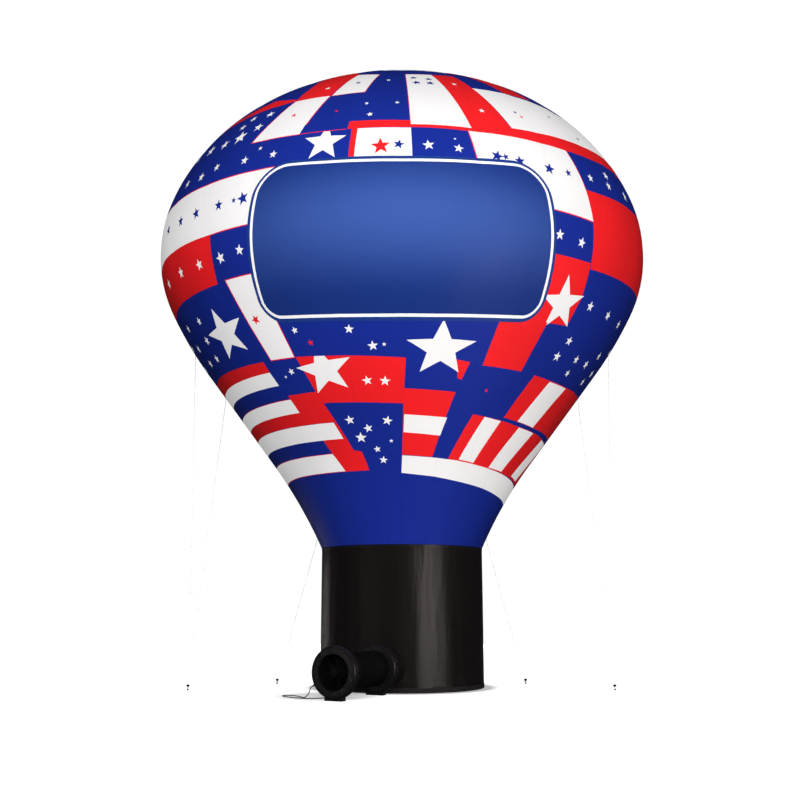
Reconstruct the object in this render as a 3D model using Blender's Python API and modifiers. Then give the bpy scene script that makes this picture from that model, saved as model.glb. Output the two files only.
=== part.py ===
"""Hot air balloon shaped inflatable on a round pedestal, kept up by a fan and tied to ground stakes.

Metres, +Z up. The origin is the middle of the pedestal's underside, and the front looks along -Y.
"""

import math

import bmesh
import bpy
from mathutils import Matrix, Vector

PARTS = "hot_air_balloon_inflatable"
CUTTERS = "cutters"

# Fabric shells
FABRIC = 0.010  # wall of the envelope and the pedestal
GAP = 0.0003  # between pieces that touch
FACETS = 36  # round the envelope and the pedestal
FACET_TURN = math.radians(180 / FACETS)  # puts a facet's middle on each axis

PEDESTAL_RADIUS = 0.795
PEDESTAL_HEIGHT = 1.322

# The envelope's outer side, from the pedestal's seam up to the crown. It starts this far from the
# vertical, in degrees, and goes on as straight stretches and arcs.
SEAM_LEAN = 24.4
# name, bend radius (0 is straight), turn in degrees (outwards is positive) or length, segments
ENVELOPE_STRETCHES = (
    ("neck", 4.45, 5.4, 3),
    ("flare", 4.45, 7.0, 3),
    ("cone", 0, 1.142, 3),
    ("haunch", 4.0, -10.5, 2),
    ("shoulder", 1.223, -46.0, 5),
    ("brow", 1.929, -37.1, 4),
    ("crown", None, None, 4),  # closes on the axis
)

# Banners, as one looks along Y: a rectangle with round corners, bowed with the envelope
BANNER_HALF_WIDTH = 1.315  # halfway up
BANNER_LOW = 3.10  # the long edges at their middles
BANNER_HIGH = 4.36
BANNER_TAPER = 0.11  # share by which the long edges are narrower
BANNER_LIFT = 0.07  # of the long edges' ends over their middles
BANNER_UPPER_CORNER = 0.28
BANNER_LOWER_CORNER = 0.18
BANNER_CORNER_SEGMENTS = 5
BANNER_EDGE_SEGMENTS = 5
BANNER_THICKNESS = 0.006
BANNER_OFF_FABRIC = 0.002
BANNER_REACH = 3.0  # past the envelope's radius

# Tethers: name, height, angle behind the X axis in degrees, side of X, stake, sideways at the stake
TETHERS = (
    ("left_1", 4.25, 20, -1, "left", -0.009),
    ("left_2", 3.40, 30, -1, "left", 0.009),
    ("left_3", 2.90, 70, -1, "rear_left", 0.0),
    ("right_1", 4.25, 20, 1, "right", 0.009),
    ("right_2", 3.40, 30, 1, "right", -0.009),
    ("right_3", 2.90, 70, 1, "rear_right", 0.0),
)
PATCH_RADIUS = 0.11
PATCH_THICKNESS = 0.004
PATCH_STEPS = 18
KEEPER = (0.034, 0.016, 0.030)  # webbing block that holds the ring: across, along, off the envelope
KEEPER_HOLD = 0.021  # ring's wire off the envelope
RING_RADIUS = 0.026
RING_WIRE = 0.004
RING_STEPS = 14
WIRE_SIDES = 6
ROPE_RADIUS = 0.003
ROPE_SIDES = 6

# Stakes, above the ground: name to place
STAKES = {
    "left": (-1.99, -0.40),
    "right": (1.98, -0.40),
    "rear_left": (-1.26, 0.42),
    "rear_right": (1.25, 0.42),
}
STAKE_RADIUS = 0.009
STAKE_HEAD_RADIUS = 0.016
STAKE_CROWN_RADIUS = 0.010  # flat middle of the head
STAKE_NECK_HEIGHT = 0.038
STAKE_RIM_HEIGHT = 0.048
STAKE_HEIGHT = 0.052
STAKE_STEPS = 10
ROPE_ON_STAKE = 0.019  # height of the rope's end

# Fan: its axis is level and turned from the front towards -X. Places along it are measured from the
# middle of the outlet ring, and the inlet is ahead.
FAN_HEADING = math.radians(28)
FAN_OUTLET = Vector((-0.229, -0.930, 0.227))
FAN_LENGTH = 0.68  # between the middles of the two rings
FAN_STEPS = 32  # facets round the rings and the tubes
FAN_RING_RADIUS = 0.215
FAN_RING_HALF_DEPTH = 0.045
FAN_RING_ROUNDING = 0.026
DUCT_RADIUS = 0.1475  # outside of the tubes
DUCT_WALL = 0.005
# name, front end, back end
DUCT_SECTIONS = (
    ("fan_barrel", 0.691, 0.340),
    ("fan_rear_barrel", 0.340, 0.0),
    ("outlet_collar", 0.0, -0.120),
)
OUTLET_RECESS = 0.020
OUTLET_RECESS_RADIUS = 0.165
FOOT_SIZE = (0.17, 0.036, 0.060)  # across, up, along the fan
RIM_STEPS = 64  # facets of the saddles' hollows

# Guard, motor and impeller
GUARD_PLACE = 0.708
GUARD_RING_RADII = (0.140, 0.105, 0.070, 0.035)
GUARD_STEPS = 24
GUARD_BAR = 0.005
GUARD_SPOKE = 0.004
GUARD_SPOKES = 6
IMPELLER_PLACE = 0.595
IMPELLER_RADIUS = 0.130
IMPELLER_BLADES = 7
HUB_RADIUS = 0.052
HUB_HALF_LENGTH = 0.025
HUB_NOSE = 0.014
BLADE_SIZE = (0.084, 0.048, 0.004)  # out from the hub, chord, thickness
BLADE_PITCH = math.radians(38)
SHAFT_RADIUS = 0.008
SHAFT_END = -0.070  # behind the impeller's middle
MOTOR_FRONT = 0.540
MOTOR_BACK = 0.370
MOTOR_RADIUS = 0.060
MOTOR_SHOULDER = 0.022
MOTOR_BORE_RADIUS = 0.0085
MOTOR_BORE_DEPTH = 0.020
STRUT_RING = 0.004  # wall of the ring round the motor
STRUT_SIZE = (0.078, 0.006, 0.050)  # outwards, thickness, along the fan
STRUT_OUTER = 0.1405
STRUTS = 4
SMALL_STEPS = 20  # facets of the motor and the hub

# Inflation sleeve, from the fan's collar into the pedestal
SLEEVE_WALL = 0.005
SLEEVE_START = -0.051
SLEEVE_COLLAR_END = -0.116
SLEEVE_CONE_END = -0.166
SLEEVE_END = -0.42  # inside the pedestal, where its wall cuts it off
SLEEVE_MOUTH_RADIUS = 0.172
SLEEVE_HOLE_RADIUS = 0.160
STRAP_PLACE = -0.0825
STRAP_WIDTH = 0.030
STRAP_THICKNESS = 0.003
BUCKLE = (0.050, 0.010, 0.038)
BUCKLE_LIFT = 0.0008  # off the strap
BUCKLE_TURN = math.radians(40)  # round the sleeve from the top

# Zip flap for letting the air out, low on the back of the pedestal
ZIP_FLAP = (0.085, 0.004, 0.90)
ZIP_LOW = 0.22

# Power cord: a tube, a coil of the spare length, a short tail and a plug
CORD_RADIUS = 0.004
CORD_STEP = 0.024  # between the tube's points
CORD_STRAIGHT = 0.020  # straight out of the gland
GLAND_FACET = 18.5  # facets round the inlet ring, from the right as one looks into it
GLAND_RADIUS = 0.013
GLAND_NUT = 0.0136  # length of the wide part
GLAND_LENGTH = 0.034
GLAND_STEPS = 12
COIL_CENTRE = Vector((-0.640, -0.880, 0.0))
COIL_RADIUS = 0.047  # middle of the turns
COIL_WIDTH = 0.018
COIL_HEIGHT = 0.0245
COIL_STEPS = 24
PLUG_SIZE = (0.030, 0.052, 0.024)
PLUG_CENTRE = Vector((-0.588, -0.770, 0.0125))
PIN_SIZE = (0.0016, 0.020, 0.0065)
PIN_SPACING = 0.013
PIN_REACH = 0.006  # pins' middle past the plug's end

# The cord's route on the ground, from the gland round the loop on the left to the coil
CORD_ROUTE = (
    (-0.775, -1.385, 0.052),
    (-0.800, -1.340, 0.024),
    (-0.825, -1.280, 0.007),
    (-0.858, -1.190, 0.0045),
    (-0.905, -1.090, 0.0045),
    (-0.960, -1.020, 0.0045),
    (-1.010, -1.010, 0.0045),
    (-1.032, -1.060, 0.0045),
    (-1.010, -1.130, 0.0045),
    (-0.950, -1.210, 0.0045),
    (-0.870, -1.290, 0.0045),
    (-0.785, -1.330, 0.0045),
    (-0.700, -1.310, 0.0045),
    (-0.635, -1.240, 0.0045),
    (-0.602, -1.150, 0.0045),
    (-0.590, -1.060, 0.0045),
    (-0.588, -0.980, 0.0045),
    (-0.588, -0.912, 0.0045),
)
# From the coil to the plug
TAIL_ROUTE = (
    (-0.588, -0.848, 0.0165),
    (-0.588, -0.830, 0.0150),
    (-0.588, -0.812, 0.0135),
    (-0.588, -0.7965, 0.0125),
)

# name to colour, roughness, metallic
FINISHES = {
    "envelope fabric": ((0.020, 0.045, 0.300), 0.45, 0.0),
    "banner fabric": ((0.025, 0.070, 0.380), 0.45, 0.0),
    "pedestal fabric": ((0.012, 0.012, 0.013), 0.35, 0.0),
    "webbing": ((0.020, 0.020, 0.022), 0.80, 0.0),
    "rope": ((0.800, 0.800, 0.780), 0.75, 0.0),
    "steel": ((0.550, 0.560, 0.570), 0.35, 1.0),
    "black plastic": ((0.010, 0.010, 0.011), 0.40, 0.0),
    "dark paint": ((0.015, 0.015, 0.016), 0.45, 0.3),
    "rubber": ((0.010, 0.010, 0.010), 0.70, 0.0),
}


def clear_scene():
    """Empties the scene and makes the two collections."""
    for obj in list(bpy.context.scene.objects):
        bpy.data.objects.remove(obj, do_unlink=True)
    for name in (PARTS, CUTTERS):
        bpy.context.scene.collection.children.link(bpy.data.collections.new(name))


def finish(name):
    """The material of this name, made once."""
    found = bpy.data.materials.get(name)
    if found:
        return found
    colour, roughness, metallic = FINISHES[name]
    made = bpy.data.materials.new(name)
    made.use_nodes = True
    shader = made.node_tree.nodes["Principled BSDF"]
    shader.inputs["Base Color"].default_value = (*colour, 1.0)
    shader.inputs["Roughness"].default_value = roughness
    shader.inputs["Metallic"].default_value = metallic
    made.diffuse_color = (*colour, 1.0)
    return made


def add_object(name, data, finish_name, matrix=None):
    """Links a mesh or curve as a part; with no finish it is a helper that cuts or joins."""
    obj = bpy.data.objects.new(name, data)
    if finish_name:
        data.materials.append(finish(finish_name))
    else:
        obj.hide_render = True
        obj.display_type = "WIRE"
    bpy.data.collections[PARTS if finish_name else CUTTERS].objects.link(obj)
    if matrix is not None:
        obj.matrix_local = matrix
    return obj


def turned(name, profile, finish_name, steps=FACETS, closed=True, matrix=None):
    """Turns (radius, height) points about local Z; the points run down the outer side."""
    return turned_sections(name, [profile], finish_name, steps, closed, matrix)


def turned_sections(name, profiles, finish_name, steps, closed=True, matrix=None):
    """Turns several sections into one object, as turned() does with one."""
    work = bmesh.new()
    for profile in profiles:
        corners = [work.verts.new((radius, 0, height)) for radius, height in profile]
        ends = corners[1:] + corners[:1] if closed else corners[1:]
        for start, end in zip(corners, ends):
            work.edges.new((start, end))
    mesh = bpy.data.meshes.new(name)
    work.to_mesh(mesh)
    work.free()
    obj = add_object(name, mesh, finish_name, matrix)
    screw = obj.modifiers.new("turn", "SCREW")
    screw.steps = steps
    screw.render_steps = steps
    screw.use_merge_vertices = True
    screw.merge_threshold = 0.00001
    screw.use_smooth_shade = True
    return obj


def boxes(name, sizes_and_places, finish_name, matrix=None):
    """One mesh of boxes, each given as its size and the matrix that places it."""
    work = bmesh.new()
    for size, place in sizes_and_places:
        bmesh.ops.create_cube(work, size=1.0, matrix=place @ Matrix.Diagonal((*size, 1.0)))
    mesh = bpy.data.meshes.new(name)
    work.to_mesh(mesh)
    work.free()
    return add_object(name, mesh, finish_name, matrix)


def box(name, size, finish_name, matrix):
    return boxes(name, [(size, Matrix.Identity(4))], finish_name, matrix)


def spread_boxes(name, size, count, middle, matrix, first_turn=0.0, pitch=0.0):
    """Equal boxes round local Z for a Boolean, their middles this far out, each turned by its pitch."""
    places = []
    for i in range(count):
        around = Matrix.Rotation(first_turn + 2 * math.pi * i / count, 4, "Z")
        out = Matrix.Translation((middle, 0, 0))
        places.append((size, around @ out @ Matrix.Rotation(pitch, 4, "X")))
    return boxes(name, places, None, matrix)


def rod(name, radius, start, end, sides, finish_name):
    """A straight round bar between two points."""
    along = end - start
    work = bmesh.new()
    bmesh.ops.create_cone(
        work, cap_ends=True, segments=sides, radius1=radius, radius2=radius, depth=along.length
    )
    mesh = bpy.data.meshes.new(name)
    work.to_mesh(mesh)
    work.free()
    turn = along.to_track_quat("Z", "Y").to_matrix().to_4x4()
    return add_object(name, mesh, finish_name, Matrix.Translation((start + end) / 2) @ turn)


def combine(obj, other, operation):
    """Joins or cuts with another object by a Boolean."""
    step = obj.modifiers.new(operation.lower(), "BOOLEAN")
    step.object = other
    step.operation = operation
    step.solver = "EXACT"


def bevel(obj, width, segments):
    """Rounds the sharp edges."""
    step = obj.modifiers.new("rounding", "BEVEL")
    step.width = width
    step.segments = segments
    step.limit_method = "ANGLE"


def wire_section(radius, wire):
    """A round wire's section for a ring of this radius."""
    turns = [-2 * math.pi * (i + 0.5) / WIRE_SIDES for i in range(WIRE_SIDES)]
    return [(radius + wire * math.cos(a), wire * math.sin(a)) for a in turns]


def fan_ring_section(inner, steps=3):
    """A fan ring's section with rounded outer edges, from its front face down the outer side."""
    points = [(inner, FAN_RING_HALF_DEPTH)]
    for i in range(2 * steps + 2):
        # the front edge's arc and then the back edge's
        side, k = (1, steps - i) if i <= steps else (-1, i - steps - 1)
        a = math.pi / 2 * k / steps
        points.append(
            (
                FAN_RING_RADIUS - FAN_RING_ROUNDING * (1 - math.cos(a)),
                side * (FAN_RING_HALF_DEPTH - FAN_RING_ROUNDING * (1 - math.sin(a))),
            )
        )
    points.append((inner, -FAN_RING_HALF_DEPTH))
    return points


def envelope_outline():
    """Outer (radius, height, lean) points of the envelope, a list for each stretch."""
    radius, height, lean = PEDESTAL_RADIUS, PEDESTAL_HEIGHT, math.radians(SEAM_LEAN)
    stretches = {}
    for name, bend, amount, segments in ENVELOPE_STRETCHES:
        if bend is None:
            bend = radius / math.cos(lean)
            amount = -90 - math.degrees(lean)
        points = [(radius, height, lean)]
        for i in range(1, segments + 1):
            if bend == 0:
                step = amount * i / segments
                now = (radius + step * math.sin(lean), height + step * math.cos(lean), lean)
            else:
                side = math.copysign(bend, amount)
                turned_to = lean + math.radians(amount) * i / segments
                now = (
                    radius + side * (math.cos(lean) - math.cos(turned_to)),
                    height + side * (math.sin(turned_to) - math.sin(lean)),
                    turned_to,
                )
            points.append(now)
        radius, height, lean = points[-1]
        stretches[name] = points
    stretches["crown"][-1] = (0.0, height, -math.pi / 2)
    return stretches


OUTLINE = envelope_outline()


def moved_off(points, distance):
    """(radius, height) points moved square to the outline, outwards if distance is positive."""
    return [(r + distance * math.cos(a), z - distance * math.sin(a)) for r, z, a in points]


def raised(points):
    """The same outline with its low end raised by a gap, so that it clears the piece below."""
    radius, height, lean = points[0]
    return [(radius + GAP * math.sin(lean), height + GAP * math.cos(lean), lean)] + points[1:]


def joined(*names):
    """One outline of stretches that follow each other."""
    points = list(OUTLINE[names[0]])
    for name in names[1:]:
        points += OUTLINE[name][1:]
    return points


def facet_matrix():
    return Matrix.Rotation(FACET_TURN, 4, "Z")


def build_envelope():
    """Neck, body and crown of the envelope, each a fabric shell."""
    body = joined("flare", "cone", "haunch", "shoulder", "brow")
    for name, points in (("envelope_neck", OUTLINE["neck"]), ("envelope_body", body)):
        outer = raised(points)
        profile = moved_off(outer, 0)[::-1] + moved_off(outer, -FABRIC)
        turned(name, profile, "envelope fabric", matrix=facet_matrix())
    crown = raised(OUTLINE["crown"])
    inner = moved_off(crown, -FABRIC)
    inner[-1] = (0.0, inner[-1][1])
    profile = moved_off(crown, 0)[::-1] + inner
    turned("envelope_crown", profile, "envelope fabric", closed=False, matrix=facet_matrix())


def banner_outline():
    """(across, up) points round a banner, anticlockwise as one looks at its front."""
    half = Vector((BANNER_HALF_WIDTH, (BANNER_HIGH - BANNER_LOW) / 2))
    flat = []
    for quarter, (side, end) in enumerate(((1, 1), (-1, 1), (-1, -1), (1, -1))):
        radius = BANNER_UPPER_CORNER if end > 0 else BANNER_LOWER_CORNER
        centre = Vector((side * (half.x - radius), end * (half.y - radius)))
        for k in range(BANNER_CORNER_SEGMENTS + 1):
            angle = math.pi / 2 * (quarter + k / BANNER_CORNER_SEGMENTS)
            flat.append(centre + radius * Vector((math.cos(angle), math.sin(angle))))
    # the edge after each corner is cut up, so that it can bow
    points = []
    for i, start in enumerate(flat):
        points.append(start)
        if (i + 1) % (BANNER_CORNER_SEGMENTS + 1) == 0:
            end = flat[(i + 1) % len(flat)]
            shares = [k / BANNER_EDGE_SEGMENTS for k in range(1, BANNER_EDGE_SEGMENTS)]
            points += [start.lerp(end, share) for share in shares]
    bowed = []
    for point in points:
        across = point.x * (1 - BANNER_TAPER * (point.y / half.y) ** 2)
        lift = BANNER_LIFT * (point.x / half.x) ** 2
        bowed.append((across, BANNER_LOW + half.y + point.y + lift))
    return bowed


def prism(name, outline, depth):
    """A helper with this (x, z) outline, from the XZ plane to this depth along Y."""
    work = bmesh.new()
    ends = [[work.verts.new((x, y, z)) for x, z in outline] for y in (0.0, depth)]
    for end in ends:
        work.faces.new(end)
    for i in range(len(outline)):
        work.faces.new((ends[0][i - 1], ends[0][i], ends[1][i], ends[1][i - 1]))
    bmesh.ops.recalc_face_normals(work, faces=work.faces)
    mesh = bpy.data.meshes.new(name)
    work.to_mesh(mesh)
    work.free()
    return add_object(name, mesh, None)


def build_banner(name, side):
    """A blank banner that follows the envelope, on the front (-1) or the back (+1)."""
    points = joined("cone", "haunch", "shoulder", "brow")[1:-2]
    low = moved_off(points, BANNER_OFF_FABRIC)
    high = moved_off(points, BANNER_OFF_FABRIC + BANNER_THICKNESS)
    banner = turned(name, high[::-1] + low, "banner fabric", matrix=facet_matrix())
    outline = prism(name + "_outline", banner_outline(), side * BANNER_REACH)
    combine(banner, outline, "INTERSECT")


def envelope_facet(height):
    """Middle radius, height and lean of the envelope's facet at this height."""
    run = [point for points in OUTLINE.values() for point in points]
    for (r0, z0, _), (r1, z1, _) in zip(run, run[1:]):
        if z0 <= height < z1:
            lean = math.atan2(r1 - r0, z1 - z0)
            return (r0 + r1) / 2 * math.cos(FACET_TURN), (z0 + z1) / 2, lean
    raise ValueError("the envelope has no facet at this height")


def frame_of(across, up, normal, origin):
    """A matrix with these axes at this origin."""
    frame = Matrix((across, up, normal)).transposed().to_4x4()
    frame.translation = origin
    return frame


def build_tether(name, height, angle, side, stake, sideways):
    """A sewn patch with a webbing keeper, a steel ring in it, and a rope from the ring to its stake."""
    radius, height, lean = envelope_facet(height)
    turn = math.radians(angle)
    out = Vector((side * math.cos(turn), math.sin(turn), 0))
    normal = (out * math.cos(lean) - Vector((0, 0, math.sin(lean)))).normalized()
    place = out * radius + Vector((0, 0, height))
    across = Vector((0, 0, 1)).cross(normal).normalized()
    frame = frame_of(across, normal.cross(across), normal, place + normal * GAP)

    base = Vector((*STAKES[stake], 0))
    hold = place + normal * KEEPER_HOLD
    aim = (base - hold).normalized()
    ring_axis = aim.cross(across).normalized()
    ring_frame = frame_of(across, ring_axis.cross(across), ring_axis, hold + aim * RING_RADIUS)
    wire = wire_section(RING_RADIUS, RING_WIRE)
    turned(f"tether_ring_{name}", wire, "steel", RING_STEPS, matrix=ring_frame)

    disc = [(0, PATCH_THICKNESS), (PATCH_RADIUS, PATCH_THICKNESS), (PATCH_RADIUS, 0), (0, 0)]
    patch = turned(f"tether_patch_{name}", disc, "envelope fabric", PATCH_STEPS, False, frame)
    off = Matrix.Translation((0, 0, KEEPER[2] / 2))
    combine(patch, box(f"keeper_{name}", KEEPER, None, frame @ off), "UNION")
    groove = wire_section(RING_RADIUS, RING_WIRE + GAP)
    cutter = turned(f"groove_{name}", groove, None, RING_STEPS, matrix=ring_frame)
    combine(patch, cutter, "DIFFERENCE")

    top = hold + aim * (2 * RING_RADIUS + RING_WIRE + GAP)
    level = Vector((top.x - base.x, top.y - base.y, 0)).normalized()
    aside = Vector((-level.y, level.x, 0))
    foot = base + level * (STAKE_RADIUS + ROPE_RADIUS + GAP) + aside * sideways
    foot.z = ROPE_ON_STAKE
    rod(f"guy_line_{name}", ROPE_RADIUS, foot, top, ROPE_SIDES, "rope")


def build_stake(name, place):
    """The head and neck of a driven stake, above the ground."""
    profile = [
        (0, STAKE_HEIGHT),
        (STAKE_CROWN_RADIUS, STAKE_HEIGHT),
        (STAKE_HEAD_RADIUS, STAKE_RIM_HEIGHT),
        (STAKE_HEAD_RADIUS, STAKE_NECK_HEIGHT),
        (STAKE_RADIUS, STAKE_NECK_HEIGHT),
        (STAKE_RADIUS, 0),
        (0, 0),
    ]
    at = Matrix.Translation((*place, 0))
    turned(f"stake_{name}", profile, "dark paint", STAKE_STEPS, False, matrix=at)


def fan_frame(along=0.0):
    """A frame on the fan's axis, this far ahead of the outlet ring's middle; its Z looks out of the inlet."""
    heading = Vector((-math.sin(FAN_HEADING), -math.cos(FAN_HEADING), 0))
    turn = Matrix.Rotation(-FAN_HEADING, 4, "Z") @ Matrix.Rotation(math.pi / 2, 4, "X")
    return Matrix.Translation(FAN_OUTLET + heading * along) @ turn


def build_pedestal():
    """Wall and floor of the pedestal, with the sleeve's hole in the wall, and the zip flap."""
    low, high = FABRIC + GAP, PEDESTAL_HEIGHT
    inner = PEDESTAL_RADIUS - FABRIC
    wall = [(PEDESTAL_RADIUS, high), (PEDESTAL_RADIUS, low), (inner, low), (inner, high)]
    walls = turned("pedestal_wall", wall, "pedestal fabric", matrix=facet_matrix())
    hole = [(0, 0), (SLEEVE_HOLE_RADIUS, 0), (SLEEVE_HOLE_RADIUS, SLEEVE_END), (0, SLEEVE_END)]
    cutter = turned("sleeve_hole", hole, None, SMALL_STEPS, False, matrix=fan_frame())
    combine(walls, cutter, "DIFFERENCE")
    disc = [(0, FABRIC), (PEDESTAL_RADIUS, FABRIC), (PEDESTAL_RADIUS, 0), (0, 0)]
    turned("pedestal_floor", disc, "pedestal fabric", closed=False, matrix=facet_matrix())
    _, thick, tall = ZIP_FLAP
    face = PEDESTAL_RADIUS * math.cos(FACET_TURN)
    place = Matrix.Translation((0, face + GAP + thick / 2, ZIP_LOW + tall / 2))
    bevel(box("zip_flap", ZIP_FLAP, "pedestal fabric", place), 0.0015, 1)


def build_fan_rings():
    """The two rounded rings round the tubes; the outlet ring has a recess round its tube."""
    inner = DUCT_RADIUS + GAP
    section = fan_ring_section(inner)
    turned("fan_inlet_ring", section, "black plastic", FAN_STEPS, matrix=fan_frame(FAN_LENGTH))
    recess = [
        (inner, FAN_RING_HALF_DEPTH - OUTLET_RECESS),
        (OUTLET_RECESS_RADIUS, FAN_RING_HALF_DEPTH - OUTLET_RECESS),
        (OUTLET_RECESS_RADIUS, FAN_RING_HALF_DEPTH),
    ]
    turned("fan_outlet_ring", recess + section[1:], "black plastic", FAN_STEPS, matrix=fan_frame())


def build_ducts():
    """The open tubes, end to end through both rings."""
    inner = DUCT_RADIUS - DUCT_WALL
    for name, front, back in DUCT_SECTIONS:
        section = [
            (DUCT_RADIUS, front - GAP),
            (DUCT_RADIUS, back),
            (inner, back),
            (inner, front - GAP),
        ]
        turned(name, section, "dark paint", FAN_STEPS, matrix=fan_frame())


def build_guard():
    """Flat grille of ring bars and spokes in the inlet ring's mouth."""
    half = GUARD_BAR / 2
    sections = [
        [(r + half, half), (r + half, -half), (r - half, -half), (r - half, half)]
        for r in GUARD_RING_RADII
    ]
    place = fan_frame(GUARD_PLACE)
    guard = turned_sections("fan_guard", sections, "steel", GUARD_STEPS, matrix=place)
    inner = GUARD_RING_RADII[-1]
    outer = DUCT_RADIUS * math.cos(math.pi / FAN_STEPS) - GAP
    spoke = (outer - inner, GUARD_SPOKE, GUARD_SPOKE)
    spokes = spread_boxes("guard_spokes", spoke, GUARD_SPOKES, (outer + inner) / 2, place)
    combine(guard, spokes, "UNION")


def build_motor():
    """Plain motor block with a bore for the shaft, held in the barrel by a ring with struts."""
    profile = [
        (0, MOTOR_FRONT - MOTOR_BORE_DEPTH),
        (MOTOR_BORE_RADIUS, MOTOR_FRONT - MOTOR_BORE_DEPTH),
        (MOTOR_BORE_RADIUS, MOTOR_FRONT),
        (MOTOR_RADIUS * 0.55, MOTOR_FRONT),
        (MOTOR_RADIUS, MOTOR_FRONT - MOTOR_SHOULDER),
        (MOTOR_RADIUS, MOTOR_BACK + MOTOR_SHOULDER),
        (MOTOR_RADIUS * 0.7, MOTOR_BACK),
        (0, MOTOR_BACK),
    ]
    turned("fan_motor", profile, "dark paint", SMALL_STEPS, False, matrix=fan_frame())
    place = fan_frame((MOTOR_FRONT + MOTOR_BACK) / 2)
    out, _, long = STRUT_SIZE
    inner, outer = MOTOR_RADIUS + GAP, MOTOR_RADIUS + GAP + STRUT_RING
    band = [(outer, long / 2), (outer, -long / 2), (inner, -long / 2), (inner, long / 2)]
    struts = turned("motor_struts", band, "dark paint", SMALL_STEPS, matrix=place)
    middle = STRUT_OUTER - out / 2
    arms = spread_boxes("strut_arms", STRUT_SIZE, STRUTS, middle, place, math.pi / STRUTS)
    combine(struts, arms, "UNION")


def build_impeller():
    """Hub, blades and shaft, which turn together about the fan's axis."""
    place = fan_frame(IMPELLER_PLACE)
    profile = [
        (0, HUB_HALF_LENGTH + HUB_NOSE),
        (HUB_RADIUS * 0.55, HUB_HALF_LENGTH + HUB_NOSE * 0.7),
        (HUB_RADIUS * 0.9, HUB_HALF_LENGTH),
        (HUB_RADIUS, HUB_HALF_LENGTH * 0.7),
        (HUB_RADIUS, -HUB_HALF_LENGTH),
        (SHAFT_RADIUS, -HUB_HALF_LENGTH),
        (SHAFT_RADIUS, SHAFT_END),
        (0, SHAFT_END),
    ]
    hub = turned("fan_impeller", profile, "black plastic", SMALL_STEPS, False, matrix=place)
    middle = IMPELLER_RADIUS - BLADE_SIZE[0] / 2
    blades = spread_boxes(
        "impeller_blades", BLADE_SIZE, IMPELLER_BLADES, middle, place, pitch=BLADE_PITCH
    )
    combine(hub, blades, "UNION")


def build_feet():
    """A saddle under each ring, which holds the fan off the ground."""
    for name, along in (("fan_foot_inlet", FAN_LENGTH), ("fan_foot_outlet", 0.0)):
        frame = fan_frame(along)
        low = Matrix.Translation((0, FOOT_SIZE[1] / 2 - FAN_OUTLET.z, 0))
        foot = box(name, FOOT_SIZE, "rubber", frame @ low)
        radius, long = FAN_RING_RADIUS + GAP, FOOT_SIZE[2]
        rim = [(0, long), (radius, long), (radius, -long), (0, -long)]
        combine(foot, turned(name + "_rim", rim, None, RIM_STEPS, False, frame), "DIFFERENCE")


def build_sleeve():
    """Fabric sleeve from the fan's collar to the pedestal, with its strap and buckle."""
    inner = DUCT_RADIUS + GAP
    outer = inner + SLEEVE_WALL
    mouth = SLEEVE_MOUTH_RADIUS
    profile = [
        (outer, SLEEVE_START),
        (outer, SLEEVE_COLLAR_END),
        (mouth, SLEEVE_CONE_END),
        (mouth, SLEEVE_END),
        (mouth - SLEEVE_WALL, SLEEVE_END),
        (mouth - SLEEVE_WALL, SLEEVE_CONE_END),
        (inner, SLEEVE_COLLAR_END),
        (inner, SLEEVE_START),
    ]
    sleeve = turned("inflation_sleeve", profile, "pedestal fabric", FAN_STEPS, matrix=fan_frame())
    radius, tall = PEDESTAL_RADIUS + GAP, PEDESTAL_HEIGHT / 2
    core = [(0, tall), (radius, tall), (radius, 0), (0, 0)]
    cutter = turned("pedestal_core", core, None, closed=False, matrix=facet_matrix())
    combine(sleeve, cutter, "DIFFERENCE")

    inside = outer + GAP
    outside = inside + STRAP_THICKNESS
    half = STRAP_WIDTH / 2
    band = [(outside, half), (outside, -half), (inside, -half), (inside, half)]
    frame = fan_frame(STRAP_PLACE)
    turned("sleeve_strap", band, "webbing", FAN_STEPS, matrix=frame)
    lift = Matrix.Translation((0, outside + BUCKLE_LIFT + BUCKLE[1] / 2, 0))
    place = frame @ Matrix.Rotation(BUCKLE_TURN, 4, "Z") @ lift
    bevel(box("strap_buckle", BUCKLE, "black plastic", place), 0.002, 1)


def gland_frame():
    """A frame whose Z leaves the inlet ring's rim, low on the left."""
    around = Matrix.Rotation(GLAND_FACET * 2 * math.pi / FAN_STEPS, 4, "Z")
    tilt = Matrix.Rotation(math.pi / 2, 4, "Y")
    out = Matrix.Translation((0, 0, FAN_RING_RADIUS * math.cos(math.pi / FAN_STEPS) + GAP))
    return fan_frame(FAN_LENGTH) @ around @ tilt @ out


def smooth_path(points, step):
    """Points an even step apart on a smooth curve through these points."""
    ends = [points[0] * 2 - points[1]] + points + [points[-1] * 2 - points[-2]]
    fine = []
    for p0, p1, p2, p3 in zip(ends, ends[1:], ends[2:], ends[3:]):
        for i in range(20):
            t = i / 20
            linear = (p2 - p0) * t
            square = (2 * p0 - 5 * p1 + 4 * p2 - p3) * t**2
            cube = (3 * p1 - p0 - 3 * p2 + p3) * t**3
            fine.append((2 * p1 + linear + square + cube) / 2)
    fine.append(points[-1])
    length = sum((b - a).length for a, b in zip(fine, fine[1:]))
    count = max(2, round(length / step))
    found = [fine[0]]
    walked = 0.0
    for a, b in zip(fine, fine[1:]):
        span = (b - a).length
        while len(found) < count and walked + span >= length * len(found) / count:
            found.append(a.lerp(b, (length * len(found) / count - walked) / span))
        walked += span
    found.append(fine[-1])
    return found


def tube(name, points, radius, finish_name):
    """A round tube along these points."""
    curve = bpy.data.curves.new(name, "CURVE")
    curve.dimensions = "3D"
    curve.bevel_depth = radius
    curve.bevel_resolution = 2
    curve.use_fill_caps = True
    spline = curve.splines.new("POLY")
    spline.points.add(len(points) - 1)
    for target, point in zip(spline.points, points):
        target.co = (*point, 1.0)
    return add_object(name, curve, finish_name)


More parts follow.
